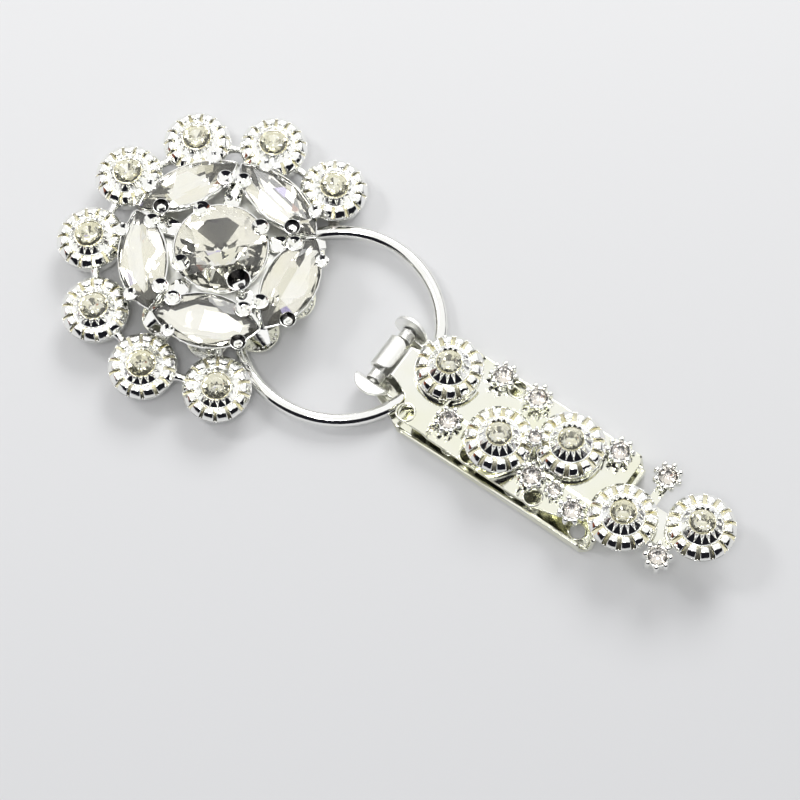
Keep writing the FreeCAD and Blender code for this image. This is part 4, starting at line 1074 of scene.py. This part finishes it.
def jawLine():
    # the middle of the upper jaw's sheet from its tip to the free end of the rolled barrel, as (x, z)
    size = upperJaw
    half = size["sheet"] / 2
    near = size["nearBottom"] + half
    far = size["farBottom"] + half
    line = [Vector((size["tip"], far))]
    for step in range(7):
        part = step / 6
        eased = part * part * (3 - 2 * part)
        line.append(Vector((size["stepStart"] + size["stepLength"] * (1 - part), far + (near - far) * eased)))
    roll = Vector((pinMiddle.x, pinMiddle.z)) / mm
    reach = size["barrelRadius"] - half
    bend = size["neckBend"]
    bendMiddle = Vector((0, near - bend))
    bendMiddle.x = roll.x + sqrt((reach + bend) ** 2 - (bendMiddle.y - roll.y) ** 2)
    meet = atan2(bendMiddle.y - roll.y, bendMiddle.x - roll.x)
    for step in range(9):
        angle = pi / 2 + (pi / 2 + meet) * step / 8
        line.append(bendMiddle + Vector((cos(angle), sin(angle))) * bend)
    last = radians(size["rollEnd"])
    for step in range(1, 41):
        angle = meet + (last - meet) * step / 40
        line.append(roll + Vector((cos(angle), sin(angle))) * reach)
    return line


def buildUpperJaw():
    size = upperJaw
    half = size["sheet"] / 2
    line = jawLine()
    places = [size["tip"]]  # where each point of the line lies on the flat sheet
    for before, after in zip(line, line[1:]):
        places.append(places[-1] - (after - before).length)
    neck = places[8]
    oneSide = [(places[-1], size["barrelHalf"]), (neck, size["barrelHalf"]),
               (neck + 1.6, size["barrelHalf"] + 0.5), (size["start"] - 0.1, 4.6),
               (size["start"], size["halfWidth"] - 0.3), (size["tip"], size["halfWidth"])]
    outline = oneSide + [(x, -y) for x, y in (oneSide[:-1] + size["nearTip"])[::-1]]
    flat = cutJawSheet("upperJaw", outline, size)

    def bendSheet(x, y, z):
        index = 0
        while index < len(places) - 2 and places[index + 1] > x:
            index += 1
        span = places[index] - places[index + 1]
        along = (line[index + 1] - line[index]) / span
        spot = line[index] + along * (places[index] - x)
        before = line[max(index - 1, 0)]
        after = line[min(index + 2, len(line) - 1)]
        share = (places[index] - x) / span
        ahead = (line[index + 1] - before).normalized().lerp((after - line[index]).normalized(), share)
        ahead.normalize()
        return spot.x + ahead.y * z, y, spot.y - ahead.x * z

    bent = slicedAndBent(flat, [("x", place) for place in places[1:-1]], bendSheet)
    parts = [(satinBehind(bent, size["satinEnd"]), here)]
    tops = [size["nearBottom"] + size["sheet"]] + [size["farBottom"] + size["sheet"]] * 2
    parts += stampedRings(size, tops)
    addPiece("upper_jaw_sheet", joined("upperJawSheet", *[(mesh, jawTurn @ place) for mesh, place in parts]),
             "upper_jaw", "plated_sheet", "upper_jaw")


buildLowerJaw()
buildUpperJaw()
print("hinge and jaws made")

# CAD pieces that keep their shape

for node, finish in (("ring_solder", "solderTin"), ("backing_strip", "platedSheet")):
    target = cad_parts[node]
    target.data.materials.clear()
    target.data.materials.append(finishes[finish])

# floor, light and camera

# the table's two colours are painted shade near the viewer and painted light away from it
studio = {"floorShadedNear": (0.745, 0.75, 0.765, 1), "floorLitFar": (0.845, 0.848, 0.858, 1), "floorReach": 0.075,
          "floorSize": 3.0, "tentOnFloor": (0.5, 0.5, 0.5, 1), "tentSeen": (0.86, 0.865, 0.88, 1),
          "lampDistance": 0.9,
          "lamps": [("sideWindow", -114, 48.4, 0.2, 1.2), ("overheadLamp", -20, 70.4, 0.2, 1.2),
                    ("backSoftbox", 165, 40, 0.4, 3.0)],  # azimuth, elevation, size, power
          "metalSky": {"foot": (0.12, 0.12, 0.125, 1), "rise": 0.25, "patches": [
              (-4, 90, -0.5, 0.48, 0.1, (0.012, 0.012, 0.016, 1)),
              (-4, 60, -0.5, 0.88, 0.08, (0.012, 0.012, 0.016, 1)),
              (-84, 12, -0.1, 0.3, 0.2, (0.24, 0.075, 0.04, 1)),
              (165, 40, -0.1, 0.1, 0.3, (0.12, 0.12, 0.125, 1)),
              (100, 10, 0.0, 0.3, 0.3, (0.16, 0.16, 0.17, 1))]},
          "stoneSky": {"foot": (0.8, 0.79, 0.7, 1), "rise": 0.6, "patches": [
              (-4, 60, -0.1, 0.53, 0.06, (0.05, 0.05, 0.055, 1)),
              (-82, 9, 0.1, 0.3, 0.2, (0.4, 0.17, 0.09, 1)),
              (140, 12, 0.3, 0.5, 0.2, (0.5, 0.45, 0.85, 1))]}}
viewing = {"azimuth": 35.3, "elevation": 69.0, "distance": 0.45, "lens": 131.9,
           "aim": (-0.00067, -0.00508, 0.003)}


def directionFrom(azimuth, elevation):
    # unit vector from the object towards someone who looks at it from there
    azimuth = radians(azimuth)
    elevation = radians(elevation)
    return Vector((sin(azimuth) * cos(elevation), -cos(azimuth) * cos(elevation), sin(elevation)))


def buildFloor():
    size = studio["floorSize"]
    mesh = bpy.data.meshes.new("floor")
    corners = [(-size, -size, 0), (size, -size, 0), (size, size, 0), (-size, size, 0)]
    mesh.from_pydata(corners, [], [(0, 1, 2, 3)])
    material, tree, shader = newMaterial("paleTable")
    place = addNode(tree, "ShaderNodeTexCoord")
    # painted shade and light: the table's colour grows darker towards the viewer and lighter away from it
    away = directionFrom(viewing["azimuth"] + 180, 0)
    depth = addNode(tree, "ShaderNodeVectorMath", {1: away}, operation="DOT_PRODUCT")
    reach = studio["floorReach"]
    spread = addNode(tree, "ShaderNodeMapRange", {"From Min": -reach, "From Max": reach})
    tint = addNode(tree, "ShaderNodeMix", {"A": studio["floorShadedNear"], "B": studio["floorLitFar"]},
                   data_type="RGBA")
    wire(tree, (place, "Object", depth, 0), (depth, "Value", spread, "Value"),
         (spread, "Result", tint, "Factor"), (tint, "Result", shader, "Base Color"))
    shader.inputs["Roughness"].default_value = 0.6
    shader.inputs["Specular IOR Level"].default_value = 0.2
    mesh.materials.append(material)
    floor = linked("floor", mesh)


def buildWorld():
    # a white tent; metal and glass each see a sky of their own, with dark and coloured patches
    world = bpy.data.worlds.new("whiteTent")
    bpy.context.scene.world = world
    world.use_nodes = True
    tree = world.node_tree
    links = tree.links
    sky = tree.nodes["Background"]
    place = addNode(tree, "ShaderNodeTexCoord")
    split = addNode(tree, "ShaderNodeSeparateXYZ")
    wire(tree, (place, "Generated", split, "Vector"))

    def dotWith(direction):
        node = addNode(tree, "ShaderNodeVectorMath", {1: direction}, operation="DOT_PRODUCT")
        wire(tree, (place, "Generated", node, 0))
        return node.outputs["Value"]

    def ranged(value, low, high, foot=0.0, **settings):
        # low..high becomes foot..1
        limits = {"From Min": low, "From Max": high, "To Min": foot}
        node = addNode(tree, "ShaderNodeMapRange", limits, **settings)
        links.new(value, node.inputs["Value"])
        return node.outputs["Result"]

    def patch(azimuth, halfAngle, low, high, soft):
        # 1 inside a rounded oblong of the sky, 0 outside
        front = directionFrom(azimuth, 0)
        turn = addNode(tree, "ShaderNodeMath", operation="ARCTAN2")
        links.new(dotWith(Vector((-front.y, front.x, 0))), turn.inputs[0])
        links.new(dotWith(front), turn.inputs[1])
        half = radians(halfAngle)
        pair = addNode(tree, "ShaderNodeCombineXYZ")
        links.new(ranged(turn.outputs["Value"], -half, half, -1.0, clamp=False), pair.inputs["X"])
        links.new(ranged(split.outputs["Z"], low, high, -1.0, clamp=False), pair.inputs["Y"])
        square = addNode(tree, "ShaderNodeVectorMath", operation="MULTIPLY")
        size = addNode(tree, "ShaderNodeVectorMath", operation="LENGTH")
        wire(tree, (pair, "Vector", square, 0), (pair, "Vector", square, 1), (square, "Vector", size, 0))
        return ranged(size.outputs["Value"], 1.0 + soft, 1.0 - soft, interpolation_type="SMOOTHSTEP")

    def tent(look):
        # brighter from its foot upwards, with patches of (azimuth, half angle, low, high, softness, colour)
        color = addNode(tree, "ShaderNodeMix", {"A": look["foot"], "B": (1, 1, 1, 1)}, data_type="RGBA")
        rise = ranged(split.outputs["Z"], 0.02, look["rise"], interpolation_type="SMOOTHSTEP")
        links.new(rise, color.inputs["Factor"])
        last = color.outputs["Result"]
        for azimuth, *limits, shade in look["patches"]:
            mix = addNode(tree, "ShaderNodeMix", {"B": shade}, data_type="RGBA")
            links.new(patch(viewing["azimuth"] + azimuth, *limits), mix.inputs["Factor"])
            links.new(last, mix.inputs["A"])
            last = mix.outputs["Result"]
        return last

    ray = addNode(tree, "ShaderNodeLightPath")
    shown = addNode(tree, "ShaderNodeMath", operation="MAXIMUM")
    plain = addNode(tree, "ShaderNodeMix", {"A": studio["tentOnFloor"], "B": studio["tentSeen"]},
                    data_type="RGBA")
    both = addNode(tree, "ShaderNodeMix", data_type="RGBA")
    seen = addNode(tree, "ShaderNodeMix", data_type="RGBA")
    wire(tree, (ray, "Is Glossy Ray", shown, 0), (ray, "Is Transmission Ray", shown, 1),
         (ray, "Is Camera Ray", plain, "Factor"), (shown, "Value", both, "Factor"),
         (plain, "Result", both, "A"), (ray, "Is Transmission Ray", seen, "Factor"))
    links.new(tent(studio["metalSky"]), seen.inputs["A"])
    links.new(tent(studio["stoneSky"]), seen.inputs["B"])
    wire(tree, (seen, "Result", both, "B"), (both, "Result", sky, "Color"))
    sky.inputs["Strength"].default_value = 1.0


def addLamp(name, azimuth, elevation, size, power):
    data = bpy.data.lights.new(name, "AREA")
    data.size = size
    data.energy = power
    lamp = linked(name, data)
    toward = directionFrom(viewing["azimuth"] + azimuth, elevation)
    lamp.location = toward * studio["lampDistance"]
    lamp.rotation_euler = toward.to_track_quat("Z", "Y").to_euler()


def buildCamera():
    data = bpy.data.cameras.new("camera")
    data.lens = viewing["lens"]
    data.clip_start = 0.01
    camera = linked("camera", data)
    toward = directionFrom(viewing["azimuth"], viewing["elevation"])
    camera.location = Vector(viewing["aim"]) + toward * viewing["distance"]
    camera.rotation_euler = toward.to_track_quat("Z", "Y").to_euler()
    bpy.context.scene.camera = camera


buildFloor()
buildWorld()
for lamp in studio["lamps"]:
    addLamp(*lamp)
buildCamera()
bpy.context.scene.view_settings.view_transform = "Standard"
print("stage set")
